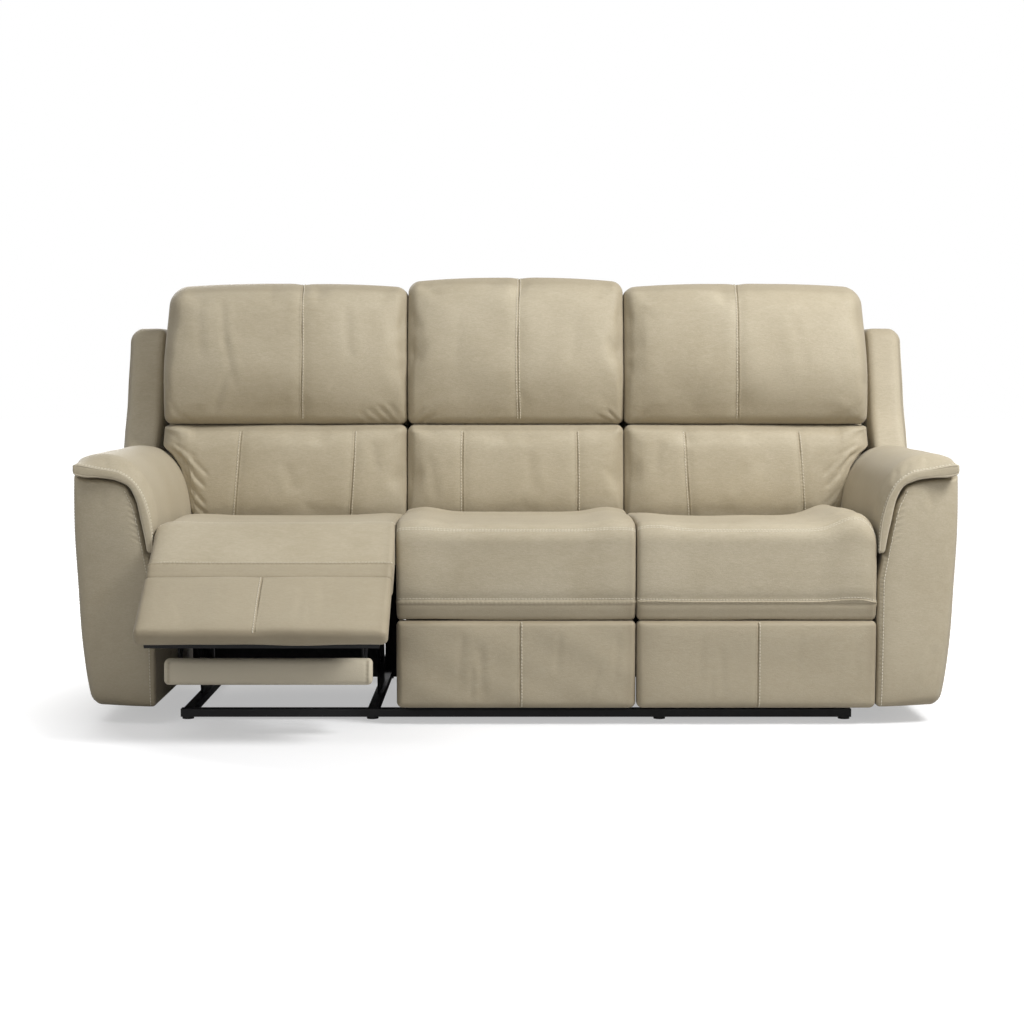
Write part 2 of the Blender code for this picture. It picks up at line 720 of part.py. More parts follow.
def footrest_board(name, middle, finish, frame):
    """Board behind the footrest pad with the two steel arms it hangs on."""
    low = middle - SEAT_WIDTH / 2 + BOARD_EDGE
    high = middle + SEAT_WIDTH / 2 - BOARD_EDGE
    front = PAD_THICK + SEAT_GAP
    board = box(
        name,
        (low, front, PANEL_BOTTOM + BOARD_EDGE),
        (high, front + BOARD_THICK, CREASE_HEIGHT - 0.012),
        finish,
        frame,
    )
    half = LINK_WIDTH / 2
    run = atan2(ROLL_PIVOT[1] - ARM_PIVOT[1], ROLL_PIVOT[0] - ARM_PIVOT[0])
    head = arc(ROLL_PIVOT, half, run - pi / 2, run + pi / 2, 6)
    foot = [(front + 0.5 * BOARD_THICK, ARM_PIVOT[1] + 0.04), (front + 0.5 * BOARD_THICK, 0.110)]
    heel = arc(ARM_PIVOT, half, radians(-60.0), run - pi / 2 + 0.0, 5)
    for way in (-1, 1):
        inner = middle + way * (PLATE_OFFSET - LINK_GAP - LINK_THICK)
        outer = middle + way * (PLATE_OFFSET - LINK_GAP)
        arm_plate = plate(
            f"{name}_arm_{way}", head + foot + [(0.075, 0.115)] + heel,
            min(inner, outer), max(inner, outer), finish, frame,
        )
        combine(board, arm_plate, "UNION")
        pivot_pin(
            board, f"{name}_pin_{way}", ROLL_PIVOT, inner + way * 0.001,
            middle + way * (PLATE_OFFSET + PLATE_THICK + 0.001), finish, frame,
        )
        pivot_hole(board, f"{name}_hole_{way}", ARM_PIVOT, inner - way * 0.01, outer + way * 0.01, finish, frame)
    return board


def linkage(side_name, middle, carriage, finishes, opening):
    """Rear links, cross tube with its crank, front links and the padded flipper bar."""
    steel = finishes["steel"]
    shift = (LINK_PIVOT[0] - ROLL_PIVOT[0], LINK_PIVOT[1] - ROLL_PIVOT[1])
    knee = (ARM_PIVOT[0] + shift[0], ARM_PIVOT[1] + shift[1])
    rear = Frame(f"{side_name}_rear_link_axis", carriage, (middle, *LINK_PIVOT), -opening)
    front = Frame(f"{side_name}_front_link_axis", rear, (middle, *knee), opening)
    half = LINK_WIDTH / 2
    flipper = (knee[0] + FLIPPER_OFFSET[0], knee[1] + FLIPPER_OFFSET[1])
    flipper_back = flipper[0] + FLIPPER_THICK / 2 + SEAT_GAP
    for part, way in (("outer", 1), ("inner", -1)):
        sign = way if middle > 0 else -way
        one_in = middle + sign * (PLATE_OFFSET - LINK_GAP - LINK_THICK)
        one_out = middle + sign * (PLATE_OFFSET - LINK_GAP)
        two_in = one_in - sign * (LINK_GAP + LINK_THICK)
        two_out = one_in - sign * LINK_GAP
        name = f"{side_name}_rear_link_{part}"
        bar = plate(name, link_outline(LINK_PIVOT, knee, half), min(one_in, one_out), max(one_in, one_out), steel, rear)
        pivot_pin(bar, f"{name}_pin", LINK_PIVOT, one_in + sign * 0.001, one_out + sign * (LINK_GAP + PLATE_THICK + 0.001), steel, rear)
        pivot_hole(bar, f"{name}_hole", knee, one_in - sign * 0.01, one_out + sign * 0.01, steel, rear)
        name = f"{side_name}_front_link_{part}"
        run = atan2(ARM_PIVOT[1] - knee[1], ARM_PIVOT[0] - knee[0])
        head = arc(ARM_PIVOT, half, run - pi / 2, run + pi / 2, 6)
        toe = [
            (knee[0] - 0.020, knee[1] + 0.012 + 0.003),
            (flipper_back, flipper[1] + 0.022),
            (flipper_back, flipper[1] - 0.018),
        ]
        heel = arc(knee, half, radians(-100.0), run - pi / 2 + 0.0, 6)
        bar = plate(name, head + toe + heel, min(two_in, two_out), max(two_in, two_out), steel, front)
        pivot_pin(bar, f"{name}_knee_pin", knee, two_in + sign * 0.001, one_out, steel, front)
        pivot_pin(bar, f"{name}_arm_pin", ARM_PIVOT, two_in + sign * 0.001, one_out, steel, front)

    reach = PLATE_OFFSET - LINK_GAP - LINK_THICK - SEAT_GAP
    tube = disc(f"{side_name}_cross_tube", LINK_PIVOT, TUBE_RADIUS, middle - reach, middle + reach, steel, rear, 14)
    crank_end = crank_tip(0.0)
    crank = plate(
        f"{side_name}_crank", link_outline(LINK_PIVOT, crank_end, 0.010),
        middle - 0.004, middle + 0.004, steel, rear,
    )
    combine(tube, crank, "UNION")
    pin_half = BLOCK_SIZE[0] / 2 - 0.002
    pivot_pin(
        tube, f"{side_name}_crank_pin", crank_end, middle - pin_half, middle + pin_half, steel, rear, CRANK_PIN
    )

    round_edge = FLIPPER_THICK * 0.42
    ring = rounded(
        [
            (flipper[0] - FLIPPER_THICK / 2, flipper[1] - FLIPPER_HEIGHT / 2, round_edge),
            (flipper[0] + FLIPPER_THICK / 2, flipper[1] - FLIPPER_HEIGHT / 2, 0.010),
            (flipper[0] + FLIPPER_THICK / 2, flipper[1] + FLIPPER_HEIGHT / 2, 0.010),
            (flipper[0] - FLIPPER_THICK / 2, flipper[1] + FLIPPER_HEIGHT / 2, round_edge),
        ],
        steps=4,
    )
    places = stations(middle - FLIPPER_HALF_WIDTH, middle + FLIPPER_HALF_WIDTH, 0.009, [])
    across(f"{side_name}_flipper_pad", lambda x: ring, places, finishes["leather"], front)


def crank_tip(opening):
    """Lower end of the crank, which swings evenly to both sides of straight down."""
    swing = radians(-90.0) + FULL_OPENING / 2 - opening
    return (LINK_PIVOT[0] + CRANK_LENGTH * cos(swing), LINK_PIVOT[1] + CRANK_LENGTH * sin(swing))


def drive(side_name, middle, carriage, finishes, opening):
    """Linear drive under the deck: rail with motor, and the block that swings the crank."""
    black = finishes["plastic"]
    rail_front = PAD_THICK + BOARD_THICK + 0.006
    rail_rear = 0.420
    top = DRIVE_RAIL_TOP
    body = box(
        f"{side_name}_recline_motor",
        (middle - DRIVE_RAIL[0] / 2, rail_front, top - DRIVE_RAIL[1]),
        (middle + DRIVE_RAIL[0] / 2, rail_rear + 0.01, top),
        finishes["steel"],
        carriage,
    )
    housing_ring = rounded(
        [
            (rail_rear, top - MOTOR_SIZE[2] / 2 - 0.012, 0.012),
            (rail_rear + MOTOR_SIZE[1], top - MOTOR_SIZE[2] / 2 - 0.012, 0.030),
            (rail_rear + MOTOR_SIZE[1], top + MOTOR_SIZE[2] / 2 - 0.012, 0.030),
            (rail_rear, top + MOTOR_SIZE[2] / 2 - 0.012, 0.012),
        ],
        steps=4,
    )
    housing = plate(
        f"{side_name}_motor_housing", housing_ring,
        middle - MOTOR_SIZE[0] / 2, middle + MOTOR_SIZE[0] / 2, black, carriage, smooth=True,
    )
    combine(body, housing, "UNION")
    hanger = box(
        f"{side_name}_motor_hanger",
        (middle - 0.020, rail_rear + 0.040, top),
        (middle + 0.020, rail_rear + 0.110, DECK_TOP - DECK_THICK - SEAT_GAP),
        finishes["steel"],
        carriage,
    )
    combine(body, hanger, "UNION")

    closed = crank_tip(0.0)
    slide = -DRIVE_TRAVEL * opening / FULL_OPENING
    block_frame = Frame(f"{side_name}_drive_block_place", carriage, (middle, closed[0], top))
    block_frame.empty.location.y += slide
    base_z = top + SEAT_GAP
    block = box(
        f"{side_name}_drive_block",
        (middle - BLOCK_SIZE[0] / 2, closed[0] - BLOCK_SIZE[1] / 2, base_z),
        (middle + BLOCK_SIZE[0] / 2, closed[0] + BLOCK_SIZE[1] / 2, base_z + BLOCK_SIZE[2] + 0.012),
        black,
        block_frame,
    )
    fork = box(
        f"{side_name}_drive_fork",
        (middle - 0.0055, closed[0] - BLOCK_SIZE[1], base_z + 0.006),
        (middle + 0.0055, closed[0] + BLOCK_SIZE[1], base_z + 0.10),
        black,
        block_frame,
    )
    combine(block, fork, "DIFFERENCE")
    pin_slot = box(
        f"{side_name}_drive_slot",
        (middle - BLOCK_SIZE[0], closed[0] - CRANK_PIN - 0.0022, base_z + 0.011),
        (middle + BLOCK_SIZE[0], closed[0] + CRANK_PIN + 0.0022, base_z + 0.10),
        black,
        block_frame,
    )
    combine(block, pin_slot, "DIFFERENCE")


def seat_frame(side_name, middle, finish, frame):
    """Cloth-covered deck with an apron hanging at its rear, between and outside the plates."""
    deck = box(
        f"{side_name}_seat_frame",
        (middle - DECK_HALF_WIDTH, 0.0795, DECK_TOP - DECK_THICK),
        (middle + DECK_HALF_WIDTH, CUSHION_REAR, DECK_TOP),
        finish,
        frame,
    )
    rear = CUSHION_REAR - 0.001
    inside = PLATE_OFFSET - 0.0025
    wing = (PLATE_OFFSET + PLATE_THICK + 0.003, SEAT_WIDTH / 2 - 0.006)
    spans = [(-wing[1], -wing[0]), (-inside, inside), wing]
    for i, (left, right) in enumerate(spans):
        apron = box(
            f"{side_name}_apron_{i}",
            (middle + left, rear - APRON_THICK, APRON_BOTTOM),
            (middle + right, rear, DECK_TOP - DECK_THICK / 2),
            finish,
            frame,
        )
        combine(deck, apron, "UNION")
    return deck


def recliner(side_name, side, root, finishes, opening):
    """One reclining end seat with its carriage, footrest, linkage, drive and back."""
    leather, steel, cloth = finishes["leather"], finishes["steel"], finishes["cloth"]
    middle = side * SEAT_PITCH
    low = SEAT_PITCH - SEAT_WIDTH / 2
    high = SEAT_PITCH + SEAT_WIDTH / 2
    carriage = Frame(f"{side_name}_carriage_place", root, (middle, 0.0, 0.0))
    seat_frame(side_name, middle, cloth, carriage)
    for part, way in (("outer", side), ("inner", -side)):
        mechanism_plate(f"{side_name}_mechanism_plate_{part}", middle + way * PLATE_OFFSET, way, steel, carriage)
    seat_cushion(f"{side_name}_seat_cushion", low, high, leather, carriage, side)

    footrest = Frame(f"{side_name}_footrest_axis", carriage, (middle, *ROLL_PIVOT), -opening)
    front_roll(f"{side_name}_front_roll", low, high, leather, footrest, side)
    footrest_pad(f"{side_name}_footrest_pad", low, high, [SEAT_PITCH], leather, footrest, side)
    footrest_board(f"{side_name}_footrest_board", middle, steel, footrest)
    linkage(side_name, middle, carriage, finishes, opening)
    drive(side_name, middle, carriage, finishes, opening)

    back = Frame(f"{side_name}_back_axis", carriage, (middle, *BACK_PIVOT))
    shell = back_shell(f"{side_name}_back_shell", low, high, SHELL_BOTTOM, leather, back, side, SHELL_OUTER)
    for way in (-1, 1):
        near = middle + way * (PLATE_OFFSET + PLATE_THICK + LINK_GAP)
        far = near + way * LINK_THICK
        outline = arc(BACK_PIVOT, LUG_HALF_HEIGHT, pi / 2, 3 * pi / 2, 6) + [
            (BACK_FRONT + 0.01, BACK_PIVOT[1] - LUG_HALF_HEIGHT),
            (BACK_FRONT + 0.01, BACK_PIVOT[1] + LUG_HALF_HEIGHT),
        ]
        lug = plate(f"{side_name}_back_lug_{way}", outline, min(near, far), max(near, far), steel, back)
        combine(shell, lug, "UNION")
        pivot_pin(
            shell, f"{side_name}_back_pin_{way}", BACK_PIVOT, far - way * 0.001,
            middle + way * (PLATE_OFFSET - 0.0005), steel, back,
        )
    seams = [SEAT_PITCH - 0.137, SEAT_PITCH + 0.137]
    lumbar_cushion(f"{side_name}_lumbar_cushion", low, high, seams, leather, back, side, EAR_OUTER)
    tilt = Frame(f"{side_name}_headrest_axis", back, (middle, HEAD_FRONT + 0.008, HEAD_BOTTOM - 0.0010))
    head_middle = (low + HEAD_OUTER) / 2
    head_cushion(f"{side_name}_head_cushion", low, HEAD_OUTER, HEAD_TOP_END, [head_middle], leather, tilt, side)


def middle_seat(root, finishes):
    """The fixed seat between the recliners."""
    leather, cloth = finishes["leather"], finishes["cloth"]
    half = SEAT_WIDTH / 2
    front = PAD_THICK + SEAT_GAP
    box(
        "middle_seat_box",
        (-half + BOARD_EDGE, front + 0.026, RAIL_TOP + SEAT_GAP),
        (half - BOARD_EDGE, BACK_FRONT - SEAT_GAP, DECK_TOP),
        cloth,
        root,
    )
    return half, leather


def middle_upholstery(root, finishes):
    """Cushions, front panel and back of the fixed seat."""
    half, leather = middle_seat(root, finishes)

    def section(x):
        radius = ROLL_RADIUS + bolster(x, -half, half)
        edge = ROLL_PIVOT[0] - radius
        shoulder = arc(ROLL_PIVOT, radius, pi, pi / 2, 4)
        top = ROLL_PIVOT[1] + radius
        return np.array(
            [
                (0.004, CREASE_HEIGHT + SEAT_GAP),
                (edge * 0.5, (CREASE_HEIGHT + SEAM_HEIGHT) / 2),
                (SEAM_DEPTH * 0.7, SEAM_HEIGHT),
                (edge * 0.8, SEAM_HEIGHT + 0.018),
                (edge, 0.380),
            ]
            + shoulder
            + [
                (0.220, top - 0.004),
                (0.400, top - 0.012),
                (CUSHION_REAR - 0.025, top - 0.026),
                (CUSHION_REAR, top - 0.053),
                (CUSHION_REAR, DECK_TOP + SEAT_GAP),
                (ROLL_THICK, DECK_TOP + SEAT_GAP),
                (ROLL_THICK, CREASE_HEIGHT + SEAT_GAP),
            ]
        )

    places = stations(-half, half, 0.006, np.linspace(-half, half, 13))
    across("middle_seat_cushion", section, places, leather, root)
    pad = footrest_pad("middle_front_panel", -half, half, [0.0], leather, root)
    backing = box(
        "middle_panel_backing",
        (-half + BOARD_EDGE, PAD_THICK - 0.002, PANEL_BOTTOM + BOARD_EDGE),
        (half - BOARD_EDGE, PAD_THICK + 0.026, CREASE_HEIGHT - 0.012),
        leather,
        root,
    )
    combine(pad, backing, "UNION")
    back_shell("middle_back_shell", -half, half, REAR_RAIL_TOP + SEAT_GAP, leather, root)
    lumbar_cushion("middle_lumbar_cushion", -half, half, [-0.137, 0.137], leather, root)
    head_cushion("middle_head_cushion", -half + 0.005, half - 0.005, HEAD_TOP_MIDDLE, [0.0], leather, root)


def build():
    clear_scene()
    finishes = {
        "leather": material("leather", (0.50, 0.44, 0.33), 0.62),
        "steel": material("black_steel", (0.015, 0.014, 0.014), 0.45, 0.6),
        "cloth": material("black_cloth", (0.02, 0.02, 0.02), 0.9),
        "plastic": material("black_plastic", (0.02, 0.02, 0.02), 0.5),
    }
    reach = opened((-0.004, PANEL_BOTTOM + 0.020), REST_OPENING)[0]
    root = Frame("sofa_origin")
    root.empty.location = (0.0, -(reach + WING_REAR) / 2, 0.0)
    base(root, finishes)
    for side_name, side, opening in (("left", -1, REST_OPENING), ("right", 1, 0.0)):
        arm(side_name, side, root, finishes)
        recliner(side_name, side, root, finishes, opening)
    middle_upholstery(root, finishes)


build()
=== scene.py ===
import json
from math import pi, radians

import bpy
import numpy as np
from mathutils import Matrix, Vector


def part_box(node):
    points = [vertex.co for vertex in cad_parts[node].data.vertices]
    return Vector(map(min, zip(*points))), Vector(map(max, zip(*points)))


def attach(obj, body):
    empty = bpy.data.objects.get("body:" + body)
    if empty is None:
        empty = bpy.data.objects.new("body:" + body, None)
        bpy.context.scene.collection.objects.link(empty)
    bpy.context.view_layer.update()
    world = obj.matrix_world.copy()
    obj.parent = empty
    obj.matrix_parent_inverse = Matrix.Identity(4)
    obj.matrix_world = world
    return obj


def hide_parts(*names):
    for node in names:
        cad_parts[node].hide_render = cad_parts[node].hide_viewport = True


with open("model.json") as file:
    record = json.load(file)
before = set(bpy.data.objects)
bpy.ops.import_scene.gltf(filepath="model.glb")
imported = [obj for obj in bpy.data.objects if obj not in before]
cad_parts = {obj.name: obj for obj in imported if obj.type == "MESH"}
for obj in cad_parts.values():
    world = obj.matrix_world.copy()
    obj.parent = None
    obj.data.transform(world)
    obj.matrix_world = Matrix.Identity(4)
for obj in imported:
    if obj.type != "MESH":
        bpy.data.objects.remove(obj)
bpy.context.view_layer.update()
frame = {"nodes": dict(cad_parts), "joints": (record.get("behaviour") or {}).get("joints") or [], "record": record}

# Every shape below is written in metres, creases in millimetres, in the sofa's own measures: y = 0 is the front of
# the closed footrests, and x grows towards the right arm seen from the front. What both sides have is written for
# the right one.
rollPivot = (0.042, 0.458)  # y and z of the axis that a footrest turns about with its front roll
jointPlace = {joint["name"]: joint.get("pos_m") for joint in frame["joints"]}
frontY = jointPlace["right_footrest_hinge"][1] - rollPivot[0]
restOpening = radians(58.0)  # the left footrest stands this far open
sides = (("left", -1), ("right", 1))


# A new object in the scene around some data
def placed(name, data):
    made = bpy.data.objects.new(name, data)
    bpy.context.scene.collection.objects.link(made)
    return made


# One socket of a material, so that sums on values can be written as plain expressions
class Wire:
    def __init__(self, maker, socket):
        self.maker = maker
        self.socket = socket

    def sum(self, operation, first, second):
        return self.maker.node("Math", {"operation": operation}, {0: first, 1: second})

    def __add__(self, other):
        return self.sum("ADD", self, other)

    def __radd__(self, other):
        return self.sum("ADD", other, self)

    def __mul__(self, other):
        return self.sum("MULTIPLY", self, other)

    def __rmul__(self, other):
        return self.sum("MULTIPLY", other, self)


# A node tree that is filled by one method, whatever the node
class Finish:
    def __init__(self, name, owner=None):
        self.owner = owner or bpy.data.materials.new(name)
        self.owner.use_nodes = True
        self.tree = self.owner.node_tree
        self.tree.nodes.clear()

    def node(self, kind, settings=None, sockets=None, out=0):
        made = self.tree.nodes.new("ShaderNode" + kind)
        for key, value in (settings or {}).items():
            setattr(made, key, value)
        for key, value in (sockets or {}).items():
            if isinstance(value, Wire):
                self.tree.links.new(value.socket, made.inputs[key])
            else:
                made.inputs[key].default_value = value
        return Wire(self, made.outputs[out]) if made.outputs else made

    def mix(self, share, first, second):
        return self.node("Mix", {"data_type": "RGBA"}, {0: share, 6: first, 7: second}, out=2)

    def place(self):
        return self.node("TexCoord", out=3)

    def stretched(self, place, scale):
        return self.node("Mapping", {}, {"Vector": place, "Scale": scale})

    def noise(self, place, scale, detail=3.0, rough=0.55, warp=0.0):
        return self.node(
            "TexNoise", {},
            {"Vector": place, "Scale": scale, "Detail": detail, "Roughness": rough, "Distortion": warp},
        )

    def cells(self, place, scale):
        return self.node("TexVoronoi", {}, {"Vector": place, "Scale": scale})

    def ranged(self, value, low, high, to=(0.0, 1.0)):
        return self.node("MapRange", {}, {0: value, 1: low, 2: high, 3: to[0], 4: to[1]})

    def kept(self, name):
        return self.node("Attribute", {"attribute_name": name}, out=2)

    def bump(self, height, strength, distance, under=None):
        sockets = {"Height": height, "Strength": strength, "Distance": distance}
        if under is not None:
            sockets["Normal"] = under
        return self.node("Bump", {}, sockets)

    def shade(self, sockets):
        surface = self.node("BsdfPrincipled", {}, sockets)
        self.node("OutputMaterial", {}, {"Surface": surface})
        return self.owner


def leatherFinish():
    look = {
        "base": (0.498, 0.437, 0.318, 1.0), "pale": (0.572, 0.512, 0.39, 1.0),
        "deep": (0.436, 0.375, 0.262, 1.0), "dust": (0.3, 0.25, 0.168, 1.0),
        "pucker": 0.011,  # length of one pucker along a seam
    }
    skin = Finish("sofa_leather")
    place = skin.place()
    cloud = skin.noise(place, 5.0, 4.0, 0.55, 0.3)
    mottle = skin.noise(skin.stretched(place, (0.45, 1.0, 1.0)), 60.0, 4.0, 0.6, 0.6)
    thread = skin.noise(skin.stretched(place, (0.16, 1.0, 1.0)), 520.0, 2.0, 0.5)
    fleck = skin.noise(place, 420.0, 2.0, 0.5)
    pebble = skin.cells(place, 680.0)
    pore = skin.cells(skin.stretched(place, (1.0, 1.0, 0.8)), 1500.0)
    crackle = skin.noise(skin.stretched(place, (0.8, 1.0, 1.6)), 85.0, 6.0, 0.7, 1.2)
    seam, along, paintedShadingAndWear = (skin.kept(name) for name in ("seamNear", "seamRun", "paintedShadingAndWear"))
    tone = skin.mix(skin.ranged(cloud, 0.32, 0.68), look["deep"], look["base"])
    tone = skin.mix(skin.ranged(mottle, 0.4, 0.74, (0.0, 0.34)), tone, look["pale"])
    tone = skin.mix(skin.ranged(thread, 0.34, 0.6, (0.22, 0.0)), tone, look["dust"])
    tone = skin.mix(skin.ranged(fleck, 0.34, 0.58, (0.15, 0.0)), tone, look["dust"])
    # Painted shading and wear: a positive mark mixes towards the darker colour, as painted shade at edges, below
    # seams and on low faces
    tone = skin.mix(paintedShadingAndWear * skin.ranged(cloud, 0.25, 0.75, (0.2, 0.5)), tone, look["dust"])
    # A negative mark mixes towards the pale colour: painted light on shaded parts, and paler piping
    tone = skin.mix(skin.ranged(paintedShadingAndWear, -1.0, 0.0, (0.9, 0.0)), tone, look["pale"])
    # Painted shade and dirt along the seams
    tone = skin.mix(seam * 0.42, tone, look["dust"])
    pucker = skin.node("Math", {"operation": "SINE"}, {0: along * (2 * pi / look["pucker"])})
    low = skin.bump(cloud * 0.4 + crackle * 0.6, 0.3, 0.003)
    middle = skin.bump(pucker * seam * 0.5 + crackle * 0.2, 0.35, 0.0016, low)
    fine = skin.bump(pebble * 0.55 + pore * 0.25 + thread * 0.5, 0.36, 0.0006, middle)
    return skin.shade({
        "Base Color": tone, "Roughness": skin.ranged(mottle, 0.3, 0.75, (0.56, 0.68)), "Normal": fine,
        "Sheen Weight": 0.1, "Sheen Roughness": 0.5, "Specular IOR Level": 0.38,
    })


def threadFinish():
    thread = Finish("seam_thread")
    twist = thread.noise(thread.place(), 900.0, 2.0)
    tone = thread.mix(twist, (0.6, 0.55, 0.43, 1.0), (0.8, 0.76, 0.64, 1.0))
    return thread.shade({"Base Color": tone, "Roughness": 0.7, "Normal": thread.bump(twist, 0.5, 0.0004)})


def steelFinish():
    look = {"paint": (0.007, 0.007, 0.008, 1.0), "dusty": (0.022, 0.021, 0.02, 1.0)}
    steel = Finish("painted_steel")
    place = steel.place()
    orange = steel.noise(place, 380.0, 3.0)
    dust = steel.noise(place, 22.0, 6.0, 0.7)
    return steel.shade({
        "Base Color": steel.mix(steel.ranged(dust, 0.45, 0.85, (0.0, 0.5)), look["paint"], look["dusty"]),
        "Roughness": steel.ranged(dust, 0.3, 0.8, (0.46, 0.64)),
        "Normal": steel.bump(orange, 0.25, 0.0005), "Specular IOR Level": 0.34,
    })


def plasticFinish():
    look = {"dark": (0.014, 0.014, 0.015, 1.0), "light": (0.028, 0.027, 0.027, 1.0)}
    plastic = Finish("moulded_plastic")
    place = plastic.place()
    grain = plastic.cells(place, 1300.0)
    haze = plastic.noise(place, 30.0, 4.0)
    return plastic.shade({
        "Base Color": plastic.mix(haze, look["dark"], look["light"]),
        "Roughness": plastic.ranged(haze, 0.3, 0.7, (0.42, 0.55)),
        "Normal": plastic.bump(grain, 0.3, 0.0003),
    })


def clothFinish():
    look = {"dark": (0.01, 0.01, 0.01, 1.0), "lint": (0.03, 0.029, 0.028, 1.0)}
    cloth = Finish("black_dust_cloth")
    place = cloth.place()
    weave = cloth.noise(cloth.stretched(place, (1.0, 1.0, 0.3)), 900.0, 2.0)
    lint = cloth.noise(place, 60.0, 5.0, 0.7)
    tone = cloth.mix(cloth.ranged(lint, 0.5, 0.8, (0.0, 0.6)), look["dark"], look["lint"])
    return cloth.shade({"Base Color": tone, "Roughness": 0.92, "Normal": cloth.bump(weave, 0.5, 0.0006)})


finishes = {
    "leather": leatherFinish(), "thread": threadFinish(), "steel": steelFinish(),
    "plastic": plasticFinish(), "cloth": clothFinish(),
}
print("finishes made")


# A share from 0 to 1 that leaves and arrives level: three times its square less twice its cube
def eased(share):
    share = np.clip(share, 0.0, 1.0)
    return share * share * (3.0 - 2.0 * share)


# A rounded rise: the exponential of minus the squared distance from its middle over its width
def swell(value, middle, width):
    return np.exp(-(((value - middle) / width) ** 2))


# Full in the middle and nothing at both ends: one less a power of the way from the middle
def domed(share, power=4):
    return 1 - (2 * share - 1) ** power


# Single rows of values as the columns of one array
def columns(*values):
    return np.stack(values, axis=1)


# A smooth line through given heights: between two knots a cubic whose slopes are those of the knots beside them
def lineThrough(value, knots, heights):
    knots = np.asarray(knots, float)
    heights = np.asarray(heights, float)
    slopes = np.gradient(heights, knots, axis=0)
    value = np.clip(value, knots[0], knots[-1])
    cell = np.clip(np.searchsorted(knots, value) - 1, 0, len(knots) - 2)
    gap = knots[cell + 1] - knots[cell]
    t = (value - knots[cell]) / gap
    if heights.ndim > 1:
        t, gap = t[..., None], gap[..., None]
    return (
        heights[cell] * (1 + 2 * t) * (1 - t) ** 2 + heights[cell + 1] * t * t * (3 - 2 * t)
        + slopes[cell] * gap * t * (1 - t) ** 2 - slopes[cell + 1] * gap * t * t * (1 - t)
    )


# Even places on a bent line: its length is added up and shared out in equal steps
def evenly(line, count):
    line = np.asarray(line, float)
    lengths = np.concatenate([[0.0], np.cumsum(np.linalg.norm(np.diff(line, axis=0), axis=1))])
    wanted = np.linspace(0.0, lengths[-1], count)
    return np.stack([np.interp(wanted, lengths, line[:, k]) for k in range(line.shape[1])], axis=1)


# A straight line of even places from one corner to another
def straight(start, end, count=40):
    return np.linspace(np.asarray(start, float), np.asarray(end, float), count)


# A soft outline through a few corners: cubic curves between them, sharp only where a corner is doubled
def curved(corners, steps=12):
    corners = np.asarray(corners, float)
    knots = np.concatenate([[0.0], np.cumsum(np.linalg.norm(np.diff(corners, axis=0), axis=1))])
    return lineThrough(np.linspace(0.0, knots[-1], steps * len(corners)), knots, corners)


# Slow waves of a padded surface: a few sine waves of differing direction and length added up
def lumps(points, size, seed):
    draw = np.random.default_rng(seed)
    total = np.zeros(len(points))
    for wave in range(7):
        heading = draw.normal(size=3)
        heading *= 2 * pi / (size * draw.uniform(0.7, 2.2)) / np.linalg.norm(heading)
        total += np.sin(points @ heading + draw.uniform(0.0, 2 * pi)) / 2.6
    return total


# Normals of a mesh of four-sided faces: the cross products of the faces' diagonals added up at their corners
def normalsOf(points, quads):
    across = points[quads[:, 2]] - points[quads[:, 0]]
    up = points[quads[:, 3]] - points[quads[:, 1]]
    facing = np.cross(across, up)
    total = np.stack(
        [sum(np.bincount(quads[:, c], facing[:, k], len(points)) for c in range(4)) for k in range(3)], axis=1
    )
    return total / np.maximum(np.linalg.norm(total, axis=1), 1e-12)[:, None]


# The space inside a skin, negative where its faces look inwards: the sum of the tetrahedra from its middle
def signedVolume(points, quads):
    middle = points.mean(axis=0)
    a, b, c, d = (points[quads[:, k]] - middle for k in range(4))
    return (np.cross(b - a, c - a) * a).sum() + (np.cross(c - a, d - a) * a).sum()


# The outside of a box as six grids of whole-number places, joined where the grids meet
def boxGrid(places):
    counts = [len(row) - 1 for row in places]
    quads = []
    for axis in range(3):
        first, second = (axis + 1) % 3, (axis + 2) % 3
        i, j = np.meshgrid(np.arange(counts[first]), np.arange(counts[second]), indexing="ij")
        for end in (0, 1):
            corners = []
            for stepI, stepJ in ((0, 0), (1, 0), (1, 1), (0, 1)):
                corner = np.zeros((i.size, 3), int)
                corner[:, axis] = end * counts[axis]
                corner[:, first] = i.ravel() + stepI
                corner[:, second] = j.ravel() + stepJ
                corners.append(corner)
            quads.append(np.stack(corners if end else corners[::-1], axis=1))
    quads = np.concatenate(quads)
    corners, index = np.unique(quads.reshape(-1, 3), axis=0, return_inverse=True)
    points = np.stack([places[axis][corners[:, axis]] for axis in range(3)], axis=1)
    return points, index.reshape(-1, 4)


# Faces of a tube: four-sided ones between neighbouring rings, and a lid on each end
def tubeFaces(rings, corners):
    i, j = np.meshgrid(np.arange(rings - 1) * corners, np.arange(corners), indexing="ij")
    ahead = (j + 1) % corners
    walls = np.stack([i + j, i + ahead, i + corners + ahead, i + corners + j], axis=-1)
    lid = np.arange(corners)
    return [walls.reshape(-1, 4), np.stack([lid[::-1], (rings - 1) * corners + lid])]


gridLook = {
    "turn": 7,  # places over each rounded end
    "seam": np.array((-9.0, -6.5, -4.6, -3.2, -2.1, -1.2, -0.5, 0.0, 0.5, 1.2, 2.1, 3.2, 4.6, 6.5, 9.0)) / 1000,
    "clear": 0.0105,  # even places stay this far from a seam
}


# Places along one side of a box: close together over the rounded ends and at each seam, even between them
def placesAlong(length, edge, step, fine=()):
    turn = np.linspace(0.0, edge, gridLook["turn"])
    inner = np.linspace(edge, length - edge, max(2, int((length - 2 * edge) / step)))
    places = np.concatenate([turn[:-1], inner, length - turn[::-1][1:]])
    for seam in fine:
        places = np.concatenate([places[np.abs(places - seam) > gridLook["clear"]], seam + gridLook["seam"]])
    return np.sort(places)


